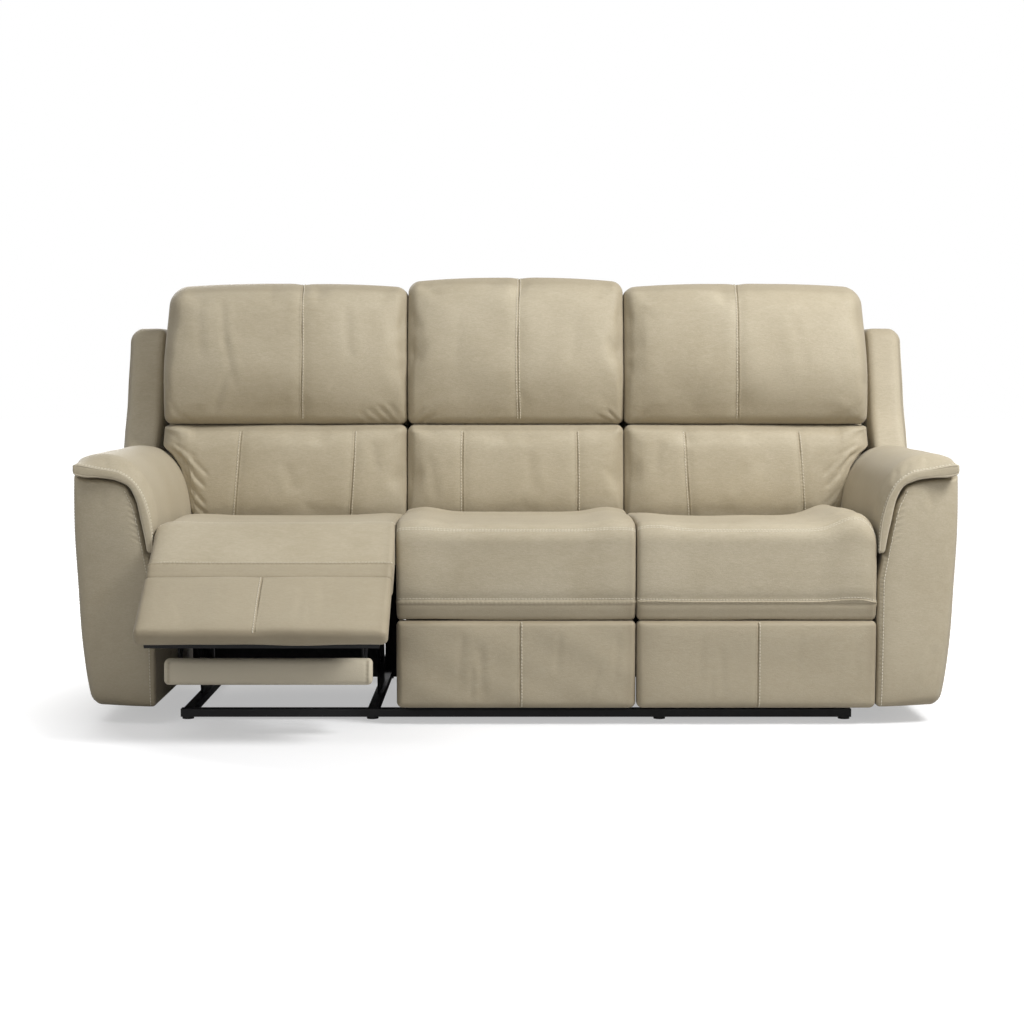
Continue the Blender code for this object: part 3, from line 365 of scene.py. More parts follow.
# A box with soft edges: each point moves to its nearest place on the box drawn in by the radius,
# plus the radius in the direction from there. The radius differs at the four corners seen from the front.
def softened(points, size, radii):
    size = np.asarray(size, float)
    a = eased(points[:, 0] / size[0])
    c = eased(points[:, 2] / size[2])
    radius = (radii[0] * (1 - a) + radii[1] * a) * (1 - c) + (radii[2] * (1 - a) + radii[3] * a) * c
    radius = np.minimum(radius, 0.499 * size.min())[:, None]
    core = np.clip(points, radius, size - radius)
    away = points - core
    reach = np.linalg.norm(away, axis=1)[:, None]
    return core + away * np.where(reach > 1e-9, radius / np.maximum(reach, 1e-9), 0.0)


# Distance of every point from a bent line, and how far along the line its nearest place is
def fromLine(points, line):
    start, step = line[:-1], np.diff(line, axis=0)
    length = np.linalg.norm(step, axis=1)
    before = np.concatenate([[0.0], np.cumsum(length)[:-1]])
    best = np.full(len(points), 1e9)
    along = np.zeros(len(points))
    for k in range(len(start)):
        share = np.clip((points - start[k]) @ step[k] / max(length[k] ** 2, 1e-12), 0.0, 1.0)
        gap = np.linalg.norm(points - start[k] - share[:, None] * step[k], axis=1)
        closer = gap < best
        best = np.where(closer, gap, best)
        along = np.where(closer, before[k] + share * length[k], along)
    return best, along


seamLook = {
    "groove": (0.0024, 0.0013), "valley": (0.002, 0.018),  # depth and width
    "lip": (0.22, 0.0035, 0.0018),  # share of the groove's depth, place and width
    "reach": 0.004, "follow": 0.02,
}


# A sewn seam draws the skin in: a narrow groove plus a wide shallow valley, both bell-shaped, less a raised lip
def sewnIn(points, quads, seams, groove=seamLook["groove"], valley=seamLook["valley"]):
    near = np.zeros(len(points))
    run = np.zeros(len(points))
    depth = np.zeros(len(points))
    share, place, width = seamLook["lip"]
    for line in seams:
        gap, along = fromLine(points, line)
        lip = share * groove[0] * swell(gap, place, width)
        drawn = groove[0] * swell(gap, 0.0, groove[1]) + valley[0] * swell(gap, 0.0, valley[1]) - lip
        depth = np.maximum(depth, drawn)
        near = np.maximum(near, swell(gap, 0.0, seamLook["reach"]))
        run = np.where(gap < seamLook["follow"], along, run)
    return points - normalsOf(points, quads) * depth[:, None], {"seamNear": near, "seamRun": run}


creaseUnits = (1e3, 1e3, 1e3, 1e3, 1e4, 1e4)  # in a metre


# Folds and wrinkles: each is a line in the front view, x and z of both ends in millimetres, with a depth and a
# width in tenths of them. Its bell-shaped furrow has a ridge beside it, and its ends fade.
def creased(points, quads, creases):
    normal = normalsOf(points, quads)
    depth = np.zeros(len(points))
    for x0, z0, x1, z1, fold, width in np.reshape(creases, (-1, 6)) / creaseUnits:
        step = np.array((x1 - x0, z1 - z0))
        length = np.linalg.norm(step)
        flat = points[:, (0, 2)] - (x0, z0)
        share = flat @ step / length ** 2
        gap = (flat[:, 0] * step[1] - flat[:, 1] * step[0]) / length
        fade = eased(share / 0.25) * eased((1 - share) / 0.25)
        ridge = swell(gap, 1.9 * width, width * 1.1) * 0.45
        depth += fold * fade * (swell(gap, 0.0, width) - ridge)
    return points - normal * (depth * np.clip(-1.6 * normal[:, 1], 0.0, 1.0))[:, None]


# A footrest's points turn about the roll's axis, down when the opening is positive
def swung(points, opening):
    y = points[:, 1] - rollPivot[0]
    z = points[:, 2] - rollPivot[1]
    turned = points.copy()
    turned[:, 1] = rollPivot[0] + y * np.cos(opening) + z * np.sin(opening)
    turned[:, 2] = rollPivot[1] - y * np.sin(opening) + z * np.cos(opening)
    return turned


# A mesh from points and groups of faces, each group an array of faces with as many corners. For the left side x
# changes sign and every face is read backwards.
def pieceFrom(name, points, groups, finish, side, opening=0.0, marks=None):
    if opening:
        points = swung(points, opening)
    if side < 0:
        points, groups = points * (-1.0, 1.0, 1.0), [group[:, ::-1] for group in groups]
    mesh = bpy.data.meshes.new(name)
    mesh.from_pydata((points + (0.0, frontY, 0.0)).tolist(), [], sum((group.tolist() for group in groups), []))
    mesh.materials.append(finishes[finish])
    mesh.shade_smooth()
    for key, values in (marks or {}).items():
        mesh.attributes.new(key, "FLOAT", "POINT").data.foreach_set("value", np.asarray(values, float))
    return placed(name, mesh)


def register(piece, body, nodes=None):
    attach(piece, body)
    if nodes:
        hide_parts(*nodes)


# A leather piece with its stitches, if it has any
def upholster(name, body, nodes, points, groups, marks, sewn=None, side=1, opening=0.0):
    register(pieceFrom(name, points, groups, "leather", side, opening, marks), body, nodes)
    if sewn:
        register(pieceFrom(f"{name}_stitching", *sewn, "thread", side, opening), body)


stitchLook = {
    "pitch": 0.0078, "length": 0.0058, "radius": 0.0009, "lift": 0.0004, "bow": 0.0005, "corners": 6,
    "rows": (-1.0, -0.86, 0.0, 0.86, 1.0), "thickness": (0.45, 1.0, 1.0, 1.0, 0.45),
}


# Stitches: one small capsule per pitch, laid on the nearest part of the skin along its line. A capsule is a row
# of six-cornered rings, thinner and deeper at its ends.
def stitchShapes(points, quads, lines):
    if not lines:
        return None
    normal = normalsOf(points, quads)
    centres, headings, ups = [], [], []
    for line in lines:
        length = np.linalg.norm(np.diff(line, axis=0), axis=1).sum()
        spots = evenly(line, max(3, int(length / stitchLook["pitch"])))
        heading = np.gradient(spots, axis=0)
        nearest = np.concatenate([
            np.argmin(((part[:, None, :] - points[None, :, :]) ** 2).sum(axis=2), axis=1)
            for part in np.array_split(spots, max(1, len(spots) // 16))
        ])
        up = normal[nearest]
        spots = spots - up * ((spots - points[nearest]) * up).sum(axis=1)[:, None]
        heading = heading - up * (heading * up).sum(axis=1)[:, None]
        centres.append(spots)
        headings.append(heading / np.linalg.norm(heading, axis=1)[:, None])
        ups.append(up)
    centres, headings, ups = (np.concatenate(part) for part in (centres, headings, ups))
    sideways = np.cross(headings, ups)
    corners, rows = stitchLook["corners"], stitchLook["rows"]
    turn = np.arange(corners) * 2 * pi / corners
    rings = []
    for row, share in zip(rows, stitchLook["thickness"]):
        thick = stitchLook["radius"] * share
        sink = stitchLook["lift"] - stitchLook["bow"] * row ** 2
        rings.append(
            centres[:, None, :] + headings[:, None, :] * (row * stitchLook["length"] / 2)
            + ups[:, None, :] * (sink + thick * np.sin(turn))[None, :, None]
            + sideways[:, None, :] * (thick * np.cos(turn))[None, :, None]
        )
    walls, lids = tubeFaces(len(rows), corners)
    first = np.arange(len(centres))[:, None] * (len(rows) * corners)
    groups = [(first[:, None] + walls).reshape(-1, 4), *(first + lid for lid in lids)]
    return np.stack(rings, axis=1).reshape(-1, 3), groups


# A line on the plain skin follows the skin's nearest point to where the cloth took it
def carriedLine(line, plain, moved):
    nearest = [np.argmin(((plain - spot) ** 2).sum(axis=1)) for spot in line]
    return line + moved[nearest] - plain[nearest]


# The mean of each value and those of its neighbours along the faces' edges, taken a few times over
def blurred(values, quads, times):
    ends = np.concatenate([quads[:, (k, (k + 1) % 4)] for k in range(4)])
    count = np.bincount(ends[:, 0], minlength=len(values)) + np.bincount(ends[:, 1], minlength=len(values))
    for _ in range(times):
        total = [
            np.bincount(ends[:, 0], values[ends[:, 1], k], len(values))
            + np.bincount(ends[:, 1], values[ends[:, 0], k], len(values)) for k in range(3)
        ]
        values = 0.5 * values + 0.5 * np.stack(total, axis=1) / count[:, None]
    return values


clothLook = {"grid": 0.011, "pressure": 1.6, "frames": 20, "blur": 10, "stiff": 15.0, "foot": 0.45}


# Cloth: a coarse copy of the cushion is blown up as cloth, and how far each of its points moved is carried to the
# fine skin, in proportion to how near each point lies to the eight coarse grid places round it
def blown(surface, size, edge, raw, points, quads, cap):
    places = [placesAlong(length, min(edge, 0.3 * length), clothLook["grid"]) for length in size]
    start, coarse = boxGrid(places)
    skin = surface(start)
    mesh = bpy.data.meshes.new("blown_up")
    mesh.from_pydata(skin.tolist(), [], coarse.tolist())
    held = placed("blown_up", mesh)
    cloth = held.modifiers.new("Cloth", "CLOTH")
    cloth.settings.use_pressure = True
    cloth.settings.uniform_pressure_force = clothLook["pressure"]
    cloth.settings.effector_weights.gravity = 0.0
    cloth.settings.tension_stiffness = clothLook["stiff"]
    cloth.settings.compression_stiffness = clothLook["stiff"]
    cloth.collision_settings.use_collision = False
    for tick in range(1, clothLook["frames"] + 1):
        bpy.context.scene.frame_set(tick)
    moved = np.empty(len(skin) * 3)
    held.evaluated_get(bpy.context.evaluated_depsgraph_get()).data.vertices.foreach_get("co", moved)
    bpy.data.objects.remove(held)
    bpy.context.scene.frame_set(1)
    way = moved.reshape(-1, 3) - skin
    far = np.linalg.norm(way, axis=1)[:, None]
    way *= cap * np.tanh(far / cap) / np.maximum(far, 1e-9)
    field = np.zeros((*(len(row) for row in places), 3))
    corner = [np.searchsorted(row, start[:, axis]) for axis, row in enumerate(places)]
    field[corner[0], corner[1], corner[2]] = way
    at = [np.interp(raw[:, axis], row, np.arange(len(row))) for axis, row in enumerate(places)]
    cell = [np.minimum(value.astype(int), len(row) - 2) for value, row in zip(at, places)]
    share = [value - low for value, low in zip(at, cell)]
    carried = np.zeros((len(raw), 3))
    for step in np.ndindex(2, 2, 2):
        weight = np.prod([s if ahead else 1 - s for s, ahead in zip(share, step)], axis=0)
        carried += weight[:, None] * field[cell[0] + step[0], cell[1] + step[1], cell[2] + step[2]]
    facing = 0.1 + 0.9 * eased(-1.3 * normalsOf(points, quads)[:, 1])
    upward = 0.3 + 0.7 * eased(raw[:, 2] / (clothLook["foot"] * size[2]))  # calmer where the seat holds it
    blownUp = points + blurred(carried, quads, clothLook["blur"]) * (facing * upward)[:, None]
    low, high = points.min(axis=0) - (0.0, cap, 0.0), points.max(axis=0) + (0.0, 0.0, 0.002)
    print("cloth:", len(skin), "points,", round(float(far.max()) * 1000), "mm")
    return np.clip(blownUp, low, high)


# Painted shade along the edges of a cushion: two bells over the way to its nearest edge, added up
def paintedEdgeShade(unit):
    edge = np.minimum.reduce([unit[:, 0], 1 - unit[:, 0], unit[:, 2] * 0.7, 1.2 * (1 - unit[:, 2])])
    return swell(edge, 0.0, 0.03) + 0.35 * swell(edge, 0.0, 0.085)


# A padded piece and its stitches from a soft box whose points go through a shape function. A lump has a height, a
# length and a seed. Sides against a neighbour stay true, and an outer side takes lumps where outer is 1.
def padded(name, body, nodes, size, radii, step, shape, side=1, opening=0.0, seams=(), stitches=(), creases=(),
           lump=(0.0012, 0.16, 3), paintedShadingAndWear=paintedEdgeShade, groove=seamLook["groove"], valley=seamLook["valley"],
           fine=((), (), ()), cloth=0.0, outer=0.0):
    edge = max(radii)
    raw, quads = boxGrid([
        placesAlong(length, min(edge, 0.3 * length), step, rows) for length, rows in zip(size, fine)
    ])

    def surface(at):
        return shape(*(softened(np.asarray(at, float), size, radii) / np.asarray(size)).T)

    points = surface(raw)
    seamLines, stitchLines = ([evenly(surface(line), 60) for line in lines] for lines in (seams, stitches))
    if cloth:
        plain = points
        points = blown(surface, size, edge, raw, points, quads, cloth)
        seamLines, stitchLines = (
            [carriedLine(line, plain, points) for line in lines] for lines in (seamLines, stitchLines)
        )
    normal = normalsOf(points, quads)
    free = normal[:, 1] ** 2 + outer * np.clip(normal[:, 0], 0.0, 1.0) ** 2
    points = points + normal * (lump[0] * lumps(points, lump[1], lump[2]) * free)[:, None]
    points = creased(points, quads, creases)
    points, marks = sewnIn(points, quads, seamLines, groove, valley)
    # Painted shading: by default darker towards the piece's edges
    marks["paintedShadingAndWear"] = paintedShadingAndWear(raw / np.asarray(size))
    sewn = stitchShapes(points, quads, stitchLines)
    upholster(name, body, nodes, points, [quads], marks, sewn, side, opening)


# A piping: a circle carried along a bent line, square to it, and drawn to a point at both ends
def sewPiping(name, body, line, radius, side, count=160, corners=8):
    spots = evenly(line, count)
    heading = np.gradient(spots, axis=0)
    heading /= np.linalg.norm(heading, axis=1)[:, None]
    first = np.cross(heading, (0.0, 1.0, 0.0))
    first /= np.linalg.norm(first, axis=1)[:, None]
    second = np.cross(heading, first)
    turn = np.arange(corners) * 2 * pi / corners
    tips = swell(np.arange(count), 0, 1.2) + swell(np.arange(count), count - 1, 1.2)
    thick = radius * np.sqrt(np.clip(1 - tips, 0.01, 1))
    ring = first[:, None, :] * np.cos(turn)[None, :, None] + second[:, None, :] * np.sin(turn)[None, :, None]
    points = (spots[:, None, :] + ring * thick[:, None, None]).reshape(-1, 3)
    groups = tubeFaces(count, corners)
    if signedVolume(points, groups[0]) < 0:
        groups = [group[:, ::-1] for group in groups]
    none = np.zeros(len(points))
    # The piping's leather is paler: leather pulled up over the raised bead, and a painted highlight along it
    marks = {"seamNear": none, "seamRun": none, "paintedShadingAndWear": none - 0.6}
    register(pieceFrom(name, points, groups, "leather", side, marks=marks), body)


backLook = {"front": 0.735, "knee": 0.5, "lean": 0.12}


# The plane between back cushions and back shell leans back above its knee
def backLine(z):
    return backLook["front"] + np.maximum(0.0, z - backLook["knee"]) * backLook["lean"]


headLook = {
    "bottom": 0.7342, "topEnd": 1.122, "topMiddle": 1.139, "depth": 0.135, "inner": 0.3004, "outer": 0.976,
    "frontKnots": (0.734, 0.79, 0.86, 0.94, 1.02, 1.08, 1.14),
    "front": (0.628, 0.612, 0.606, 0.613, 0.633, 0.654, 0.682),
    "crown": 0.015, "bend": 0.005, "lift": 0.004, "thread": 0.004, "step": 0.0052,
    "radii": (0.02, 0.024, 0.03, 0.05),
}


# A head cushion: its front follows a line up the height, crowned by a parabola across the width and leaning in
# the middle seam a little; its rear lies on the back's plane
def headCushion(name, body, node, low, high, top, radii, side, seamShift, creases, arch=0.008, taper=0.01,
                doubled=False):
    width = high - low
    size = (width, headLook["depth"], top - headLook["bottom"])
    middle = width / 2 + seamShift

    def shape(a, b, c):
        z = headLook["bottom"] + c * (top - arch * (2 * a - 1) ** 2 - headLook["bottom"])
        x = low + a * width - taper * eased((a - 0.5) / 0.5) * eased((c - 0.3) / 0.7)
        x = x - headLook["bend"] * np.sin(c * pi) * swell(a, middle / width, 0.2)
        pull = domed(a)
        belly = headLook["crown"] * domed(a, 2)
        forward = lineThrough(z, headLook["frontKnots"], headLook["front"]) - belly
        rear = backLine(z) - 0.001
        y = forward + b * (rear - forward)
        return columns(x, y, z + headLook["lift"] * pull * eased((c - 0.9) / 0.1))

    up = straight((middle, 0.0, 0.014), (middle, 0.0, size[2]), 60)
    seam = np.concatenate([up, straight((middle, 0.0, size[2]), (middle, 0.13, size[2]), 20)[1:]])
    beside = (headLook["thread"], 0.0, 0.0)
    padded(
        name, body, [node], size, radii, headLook["step"], shape, side, seams=[seam],
        stitches=[seam - beside, seam + beside] if doubled else [seam - beside],
        creases=creases, lump=(0.0014, 0.17, 11 + len(name)), valley=(0.003, 0.018),
        fine=((middle,), (), ()), cloth=0.018,
    )


lumbarLook = {
    "bottom": 0.456, "top": 0.7334, "depth": 0.125, "inner": 0.3004, "high": 0.894, "ear": 0.978, "crown": 0.014,
    "thread": 0.0042, "radii": (0.014, 0.02, 0.02, 0.042), "step": 0.005, "earClear": 0.009,
    "frontKnots": (0.45, 0.51, 0.58, 0.65, 0.735), "front": (0.6, 0.592, 0.594, 0.6, 0.612),
    "armX": (0.895, 0.905, 0.926, 0.95, 0.978, 1.0), "armZ": (0.47, 0.53, 0.602, 0.64, 0.662, 0.67),
}


# A lumbar cushion: front and rear as on the head cushion, and beyond the seat an ear whose foot keeps clear of the
# arm's top. Each seam is given by its x at the top and at the foot.
def lumbarCushion(name, body, node, low, high, ear, side, seamPlaces, creases, radii):
    width = ear - low
    size = (width, lumbarLook["depth"], lumbarLook["top"] - lumbarLook["bottom"])
    tops = [top - low for top, foot in seamPlaces]

    def shape(a, b, c):
        x = low + a * width
        for top, foot in seamPlaces:
            x = x + (foot - top) * np.clip(1 - c, 0.0, 1.0) ** 1.5 * swell(a, (top - low) / width, 0.1)
        floor = np.full(len(x), lumbarLook["bottom"])
        if ear > high:
            lift = np.interp(x, lumbarLook["armX"], lumbarLook["armZ"]) + lumbarLook["earClear"] + 0.03 * b
            floor = np.where(x > high - 0.006, np.maximum(floor, lift), floor)
        z = floor + c * (lumbarLook["top"] - floor)
        inside = np.clip((x - low) / (high - low), 0.0, 1.0)
        forward = lineThrough(z, lumbarLook["frontKnots"], lumbarLook["front"])
        forward = forward - lumbarLook["crown"] * domed(inside, 2) + 0.01 * eased((x - high) / 0.08)
        rear = backLine(z) - 0.001
        return columns(x, forward + b * (rear - forward), z)

    seams = [straight((place, 0.0, 0.02), (place, 0.0, size[2] - 0.012)) for place in tops]
    thread = lumbarLook["thread"]
    padded(
        name, body, [node], size, radii, lumbarLook["step"], shape, side, seams=seams,
        stitches=[seams[0] - (thread, 0.0, 0.0), seams[1] + (thread, 0.0, 0.0)], creases=creases,
        lump=(0.0014, 0.15, 23 + len(name)), valley=(0.0028, 0.016), fine=(tops, (), ()), cloth=0.01,
    )


# Creases of the back cushions, on a right-hand seat
headCreases = {
    "right": [
        (905, 738, 962, 800, 36, 44), (880, 738, 930, 780, 30, 42), (850, 738, 890, 764, 24, 38),
        (925, 738, 974, 768, 28, 36), (306, 738, 336, 786, 28, 40), (322, 738, 366, 772, 26, 38),
        (480, 760, 530, 900, 10, 160), (760, 1060, 800, 860, 12, 170), (345, 1080, 330, 960, 10, 120),
    ],
    "left": [
        (812, 1095, 800, 930, 15, 110), (806, 1000, 772, 830, 17, 120), (786, 900, 840, 756, 17, 110),
        (880, 1080, 862, 900, 12, 140), (308, 738, 356, 798, 36, 44), (330, 738, 384, 790, 32, 42),
        (360, 738, 412, 780, 28, 40), (392, 738, 438, 770, 24, 38), (948, 800, 970, 868, 26, 40),
        (936, 765, 968, 822, 28, 38), (915, 742, 962, 786, 28, 38), (886, 736, 930, 764, 24, 36),
        (470, 1080, 455, 900, 18, 140),
    ],
    "middle": [
        (-150, 1080, -165, 860, 10, 180), (170, 1060, 155, 880, 10, 180), (-290, 738, -246, 784, 28, 38),
        (290, 738, 250, 780, 28, 38), (-272, 736, -214, 766, 24, 36), (274, 736, 222, 764, 24, 36),
    ],
}
lumbarCreases = [
    (850, 556, 915, 625, 40, 50), (842, 590, 905, 652, 30, 50), (880, 600, 942, 662, 34, 44),
    (852, 510, 898, 565, 34, 46), (846, 480, 893, 520, 30, 44), (872, 640, 950, 685, 22, 60),
    (600, 540, 640, 640, 16, 160), (380, 600, 400, 700, 16, 140),
]
middleLumbarCreases = [(-220, 520, -240, 660, 16, 140), (50, 540, 30, 680, 16, 160)]
seamShift = {"left": -0.046, "right": -0.022}
lumbarSeams = {"left": ((0.443, 0.458), (0.757, 0.778)), "right": ((0.467, 0.483), (0.781, 0.799))}
middleBack = (-0.2992, 0.2992)

for sideName, side in sides:
    headCushion(
        f"{sideName}_head_pillow", f"{sideName}_headrest", f"{sideName}_head_cushion", headLook["inner"],
        headLook["outer"], headLook["topEnd"], headLook["radii"], side, seamShift[sideName], headCreases[sideName],
    )
    lumbarCushion(
        f"{sideName}_lumbar_pillow", f"{sideName}_back", f"{sideName}_lumbar_cushion", lumbarLook["inner"],
        lumbarLook["high"], lumbarLook["ear"], side, lumbarSeams[sideName], lumbarCreases, lumbarLook["radii"],
    )
headCushion(
    "middle_head_pillow", "sofa_body", "middle_head_cushion", *middleBack, headLook["topMiddle"],
    (0.02, 0.02, 0.03, 0.03), 1, 0.01, headCreases["middle"], arch=0.01, taper=0.0, doubled=True,
)
lumbarCushion(
    "middle_lumbar_pillow", "sofa_body", "middle_lumbar_cushion", *middleBack, middleBack[1], 1,
    ((-0.146, -0.146), (0.17, 0.172)), middleLumbarCreases, (0.014, 0.014, 0.02, 0.02),
)
print("back cushions made")


seatLook = {
    "end seat": (0.3008, 0.8987), "middle seat": (-0.2985, 0.2985),
    "bulge": {"left": (0.005, 0.004), "right": (0.027, 0.009)},
    "deckTop": 0.3918, "top": 0.492, "rear": 0.574, "crease": 0.2625, "seam": 0.3105, "end": 0.012,
    "rollRadius": 0.042, "rollClear": 0.0016, "rollThick": 0.07, "rise": 0.0035, "frontShare": 0.22,
    "slots": ((0.3605, 0.3745), (0.8255, 0.8395)), "slotFloor": 0.024, "slotTop": 0.486,
    "ring": 340, "step": 0.006, "rim": 0.03, "level": 0.01,
}


# The rise of a seat across its width: low in the middle, fuller by the sides and most by the arm,
# where it ends in a quarter of an ellipse
def seatRise(x, low, high, outerRise, innerRise, turn=0.04, drop=0.046):
    inner = innerRise * swell(x, low + 0.045, 0.06)
    outer = outerRise * swell(x, high - 0.058, 0.056)
    over = np.clip((x - high + turn) / turn, 0.0, 1.0)
    return seatLook["rise"] + inner + outer - drop * (1 - np.sqrt(1 - 0.97 * over ** 2))


# Stations across a seat with the draw-in of its rounded ends: a quarter circle at each end, even places between
# them, closer near the outer end and in pairs at the walls of the slots
def seatStations(low, high, slots):
    end, rim = seatLook["end"], seatLook["rim"]
    turn = np.linspace(0.0, pi / 2, 7)
    near = low + end * (1 - np.cos(turn))
    inner = np.linspace(low + end, high - end - rim, int((high - low) / seatLook["step"]))[1:]
    inner = np.concatenate([inner, np.linspace(high - end - rim, high - end, 9)[1:-1]])
    for wall in np.ravel(slots):
        inner = np.sort(np.concatenate([inner[np.abs(inner - wall) > 0.0015], (wall - 0.0002, wall + 0.0002)]))
    places = np.concatenate([near, inner, (low + high) - near[::-1]])
    draw = np.concatenate([end * (1 - np.sin(turn)), np.zeros(len(inner)), end * (1 - np.sin(turn[::-1]))])
    return places, draw


# A skin across the seat: ring after ring along x, each drawn in at the ends, with flat lids. The rings are worked
# out at every centimetre of rise, and other rises lie on the line between the two nearest.
def acrossSeat(outline, low, high, rise, slots):
    count = seatLook["ring"]
    places, draw = seatStations(low, high, slots)
    lines = [outline(seatLook["level"] * level) for level in range(5)]
    levels = np.stack([evenly(np.vstack([line, line[:1]]), count + 1)[:-1] for line in lines])
    level = rise(places) / seatLook["level"]
    cell = np.clip(level.astype(int), 0, len(levels) - 2)
    share = (level - cell)[:, None, None]
    rings = levels[cell] * (1 - share) + levels[cell + 1] * share
    lowest, highest = rings.min(axis=1, keepdims=True), rings.max(axis=1, keepdims=True)
    middle = (lowest + highest) / 2
    rings = middle + (rings - middle) * (1 - 2 * draw[:, None, None] / (highest - lowest))
    points = np.concatenate([np.broadcast_to(places[:, None, None], (*rings.shape[:2], 1)), rings], axis=2)
    return points.reshape(-1, 3), tubeFaces(len(places), count), (len(places), count)


# A seat piece: lumps and creases on its top and front, one sewn seam with its rows of stitches, and painted shade
# below the seam, where the band turns in. A place to sew at is given by its y and z in the middle of the seat.
def seatSkin(name, body, nodes, outline, low, high, rise, side, opening=0.0, seamAt=(), stitchAt=(), creases=(),
             slots=()):
    points, groups, (stations, count) = acrossSeat(outline, low, high, rise, slots)
    quads = groups[0]
    normal = normalsOf(points, quads)
    inside = eased((points[:, 0] - low) / 0.03) * eased((high - points[:, 0]) / 0.03)
    away = np.hypot(points[:, 1] - rollPivot[0], points[:, 2] - rollPivot[1])
    away = away - seatLook["rollRadius"] - rise(points[:, 0])
    inside = inside * eased((away - 0.006) / 0.03)  # the round of the roll stays true, so that it can turn
    inside = inside * np.clip(normal[:, 2] - normal[:, 1], 0.0, 1.0)
    points = points + normal * (0.0022 * lumps(points, 0.2, 31 + len(name)) * inside)[:, None]
    points = creased(points, quads, creases)
    grid = points.reshape(stations, count, 3)

    def lineNear(y, z):
        # the row of ring points closest to a place on the front, followed from end to end
        first = grid[stations // 2]
        nearest = np.argmin((first[:, 1] - y) ** 2 + (first[:, 2] - z) ** 2)
        return grid[3:-3, nearest]

    seams = [lineNear(*spot) for spot in seamAt]
    stitchLines = [lineNear(*spot) for spot in stitchAt]
    points, marks = sewnIn(points, quads, seams, (0.0034, 0.0021), (0.0026, 0.008))
    for near, far in slots:  # cut from the rear for the steel plates
        within = (points[:, 0] > near) & (points[:, 0] < far) & (points[:, 2] < seatLook["slotTop"])
        points[:, 1] = np.where(within, np.minimum(points[:, 1], seatLook["slotFloor"]), points[:, 1])
    sewn = stitchShapes(points, quads, stitchLines)
    # Painted shade: darker at the ends of the seat and on the band below the seam, where it turns in
    edges = columns((points[:, 0] - low) / (high - low), points[:, 0] * 0, np.full(len(points), 0.5))
    under = 1.3 * eased((seatLook["seam"] - 0.001 - points[:, 2]) / 0.005)
    marks["paintedShadingAndWear"] = paintedEdgeShade(edges) + under
    if signedVolume(points, quads) < 0:
        groups = [group[:, ::-1] for group in groups]
    upholster(name, body, nodes, points, groups, marks, sewn, side, opening)


# Even places on a part of a circle, between two angles in degrees
def arcLine(centre, radius, start, end, steps):
    angle = np.linspace(radians(start), radians(end), steps)
    return columns(centre[0] + radius * np.cos(angle), centre[1] + radius * np.sin(angle))


# The radius of a roll at its front, which grows with a small share of the rise
def frontRadius(rise):
    return seatLook["rollRadius"] + seatLook["rise"] + seatLook["frontShare"] * (rise - seatLook["rise"])


# The round of a roll: its radius grows with the rise from the front, where it hardly changes, to the top
def knuckleLine(rise, stop, steps):
    angle = np.linspace(180.0, stop, steps)
    front = frontRadius(rise)
    radius = front + (seatLook["rollRadius"] + rise - front) * eased((180.0 - angle) / 80.0)
    angle = np.radians(angle)
    return columns(rollPivot[0] + radius * np.cos(angle), rollPivot[1] + radius * np.sin(angle))


# Outlines of a seat seen from its side, as y and z. The front goes from the crease up to the round, and the sewn
# band below the seam slopes in.
def faceLine(rise):
    crease, seam, front = seatLook["crease"], seatLook["seam"], rollPivot[0] - frontRadius(rise)
    return curved([
        (0.016, crease), (0.009, crease + 0.004), (0.003, 0.282), (0.0, 0.298), (0.002, seam - 0.002),
        (front * 0.75, 0.33), (front - 0.001, 0.372), (front, 0.44), (front, 0.458),
    ])


# The front roll of an end seat: its front, its round and its back
def rollOutline(rise):
    back, crease = seatLook["rollThick"], seatLook["crease"]
    stop = -np.degrees(np.arccos((back - rollPivot[0]) / (seatLook["rollRadius"] + rise)))
    heel = np.array([(back, 0.38), (back, 0.32), (back, crease + 0.004), (back - 0.004, crease)])
    return np.vstack([faceLine(rise), knuckleLine(rise, stop, 40)[1:], heel])


# The seat cushion of an end seat: a hollow round the roll, then deck, rear and top
def cushionOutline(rise):
    deck, rear, top = seatLook["deckTop"], seatLook["rear"], seatLook["top"] + rise
    front = arcLine(rollPivot, seatLook["rollRadius"] + rise + seatLook["rollClear"], 60.0, -34.0, 24)
    rest = curved([
        (front[-1][0], deck), (0.3, deck), (rear - 0.004, deck), (rear, deck + 0.006), (rear, top - 0.045),
        (rear - 0.025, top - 0.016), (0.46, top - 0.004), (0.34, top + 0.002), (0.2, top + 0.007),
        (0.11, top + 0.006), tuple(front[0]),
    ])
    return np.vstack([front, rest[1:-1]])


# The middle seat: roll and cushion in one
def wholeSeatOutline(rise):
    deck, rear, back, crease = (seatLook[key] for key in ("deckTop", "rear", "rollThick", "crease"))
    top = rollPivot[1] + seatLook["rollRadius"] + rise
    rest = curved([
        (0.046, top), (0.12, top + 0.002), (0.22, top + 0.001), (0.4, top - 0.006), (0.549, top - 0.02),
        (rear, top - 0.05), (rear, deck + 0.004), (0.56, deck), (0.3, deck), (0.0745, deck),
        (back, deck - 0.006), (back, 0.33), (back, crease + 0.004), (0.066, crease),
    ])
    return np.vstack([faceLine(rise), knuckleLine(rise, 95.0, 24)[1:], rest[1:]])


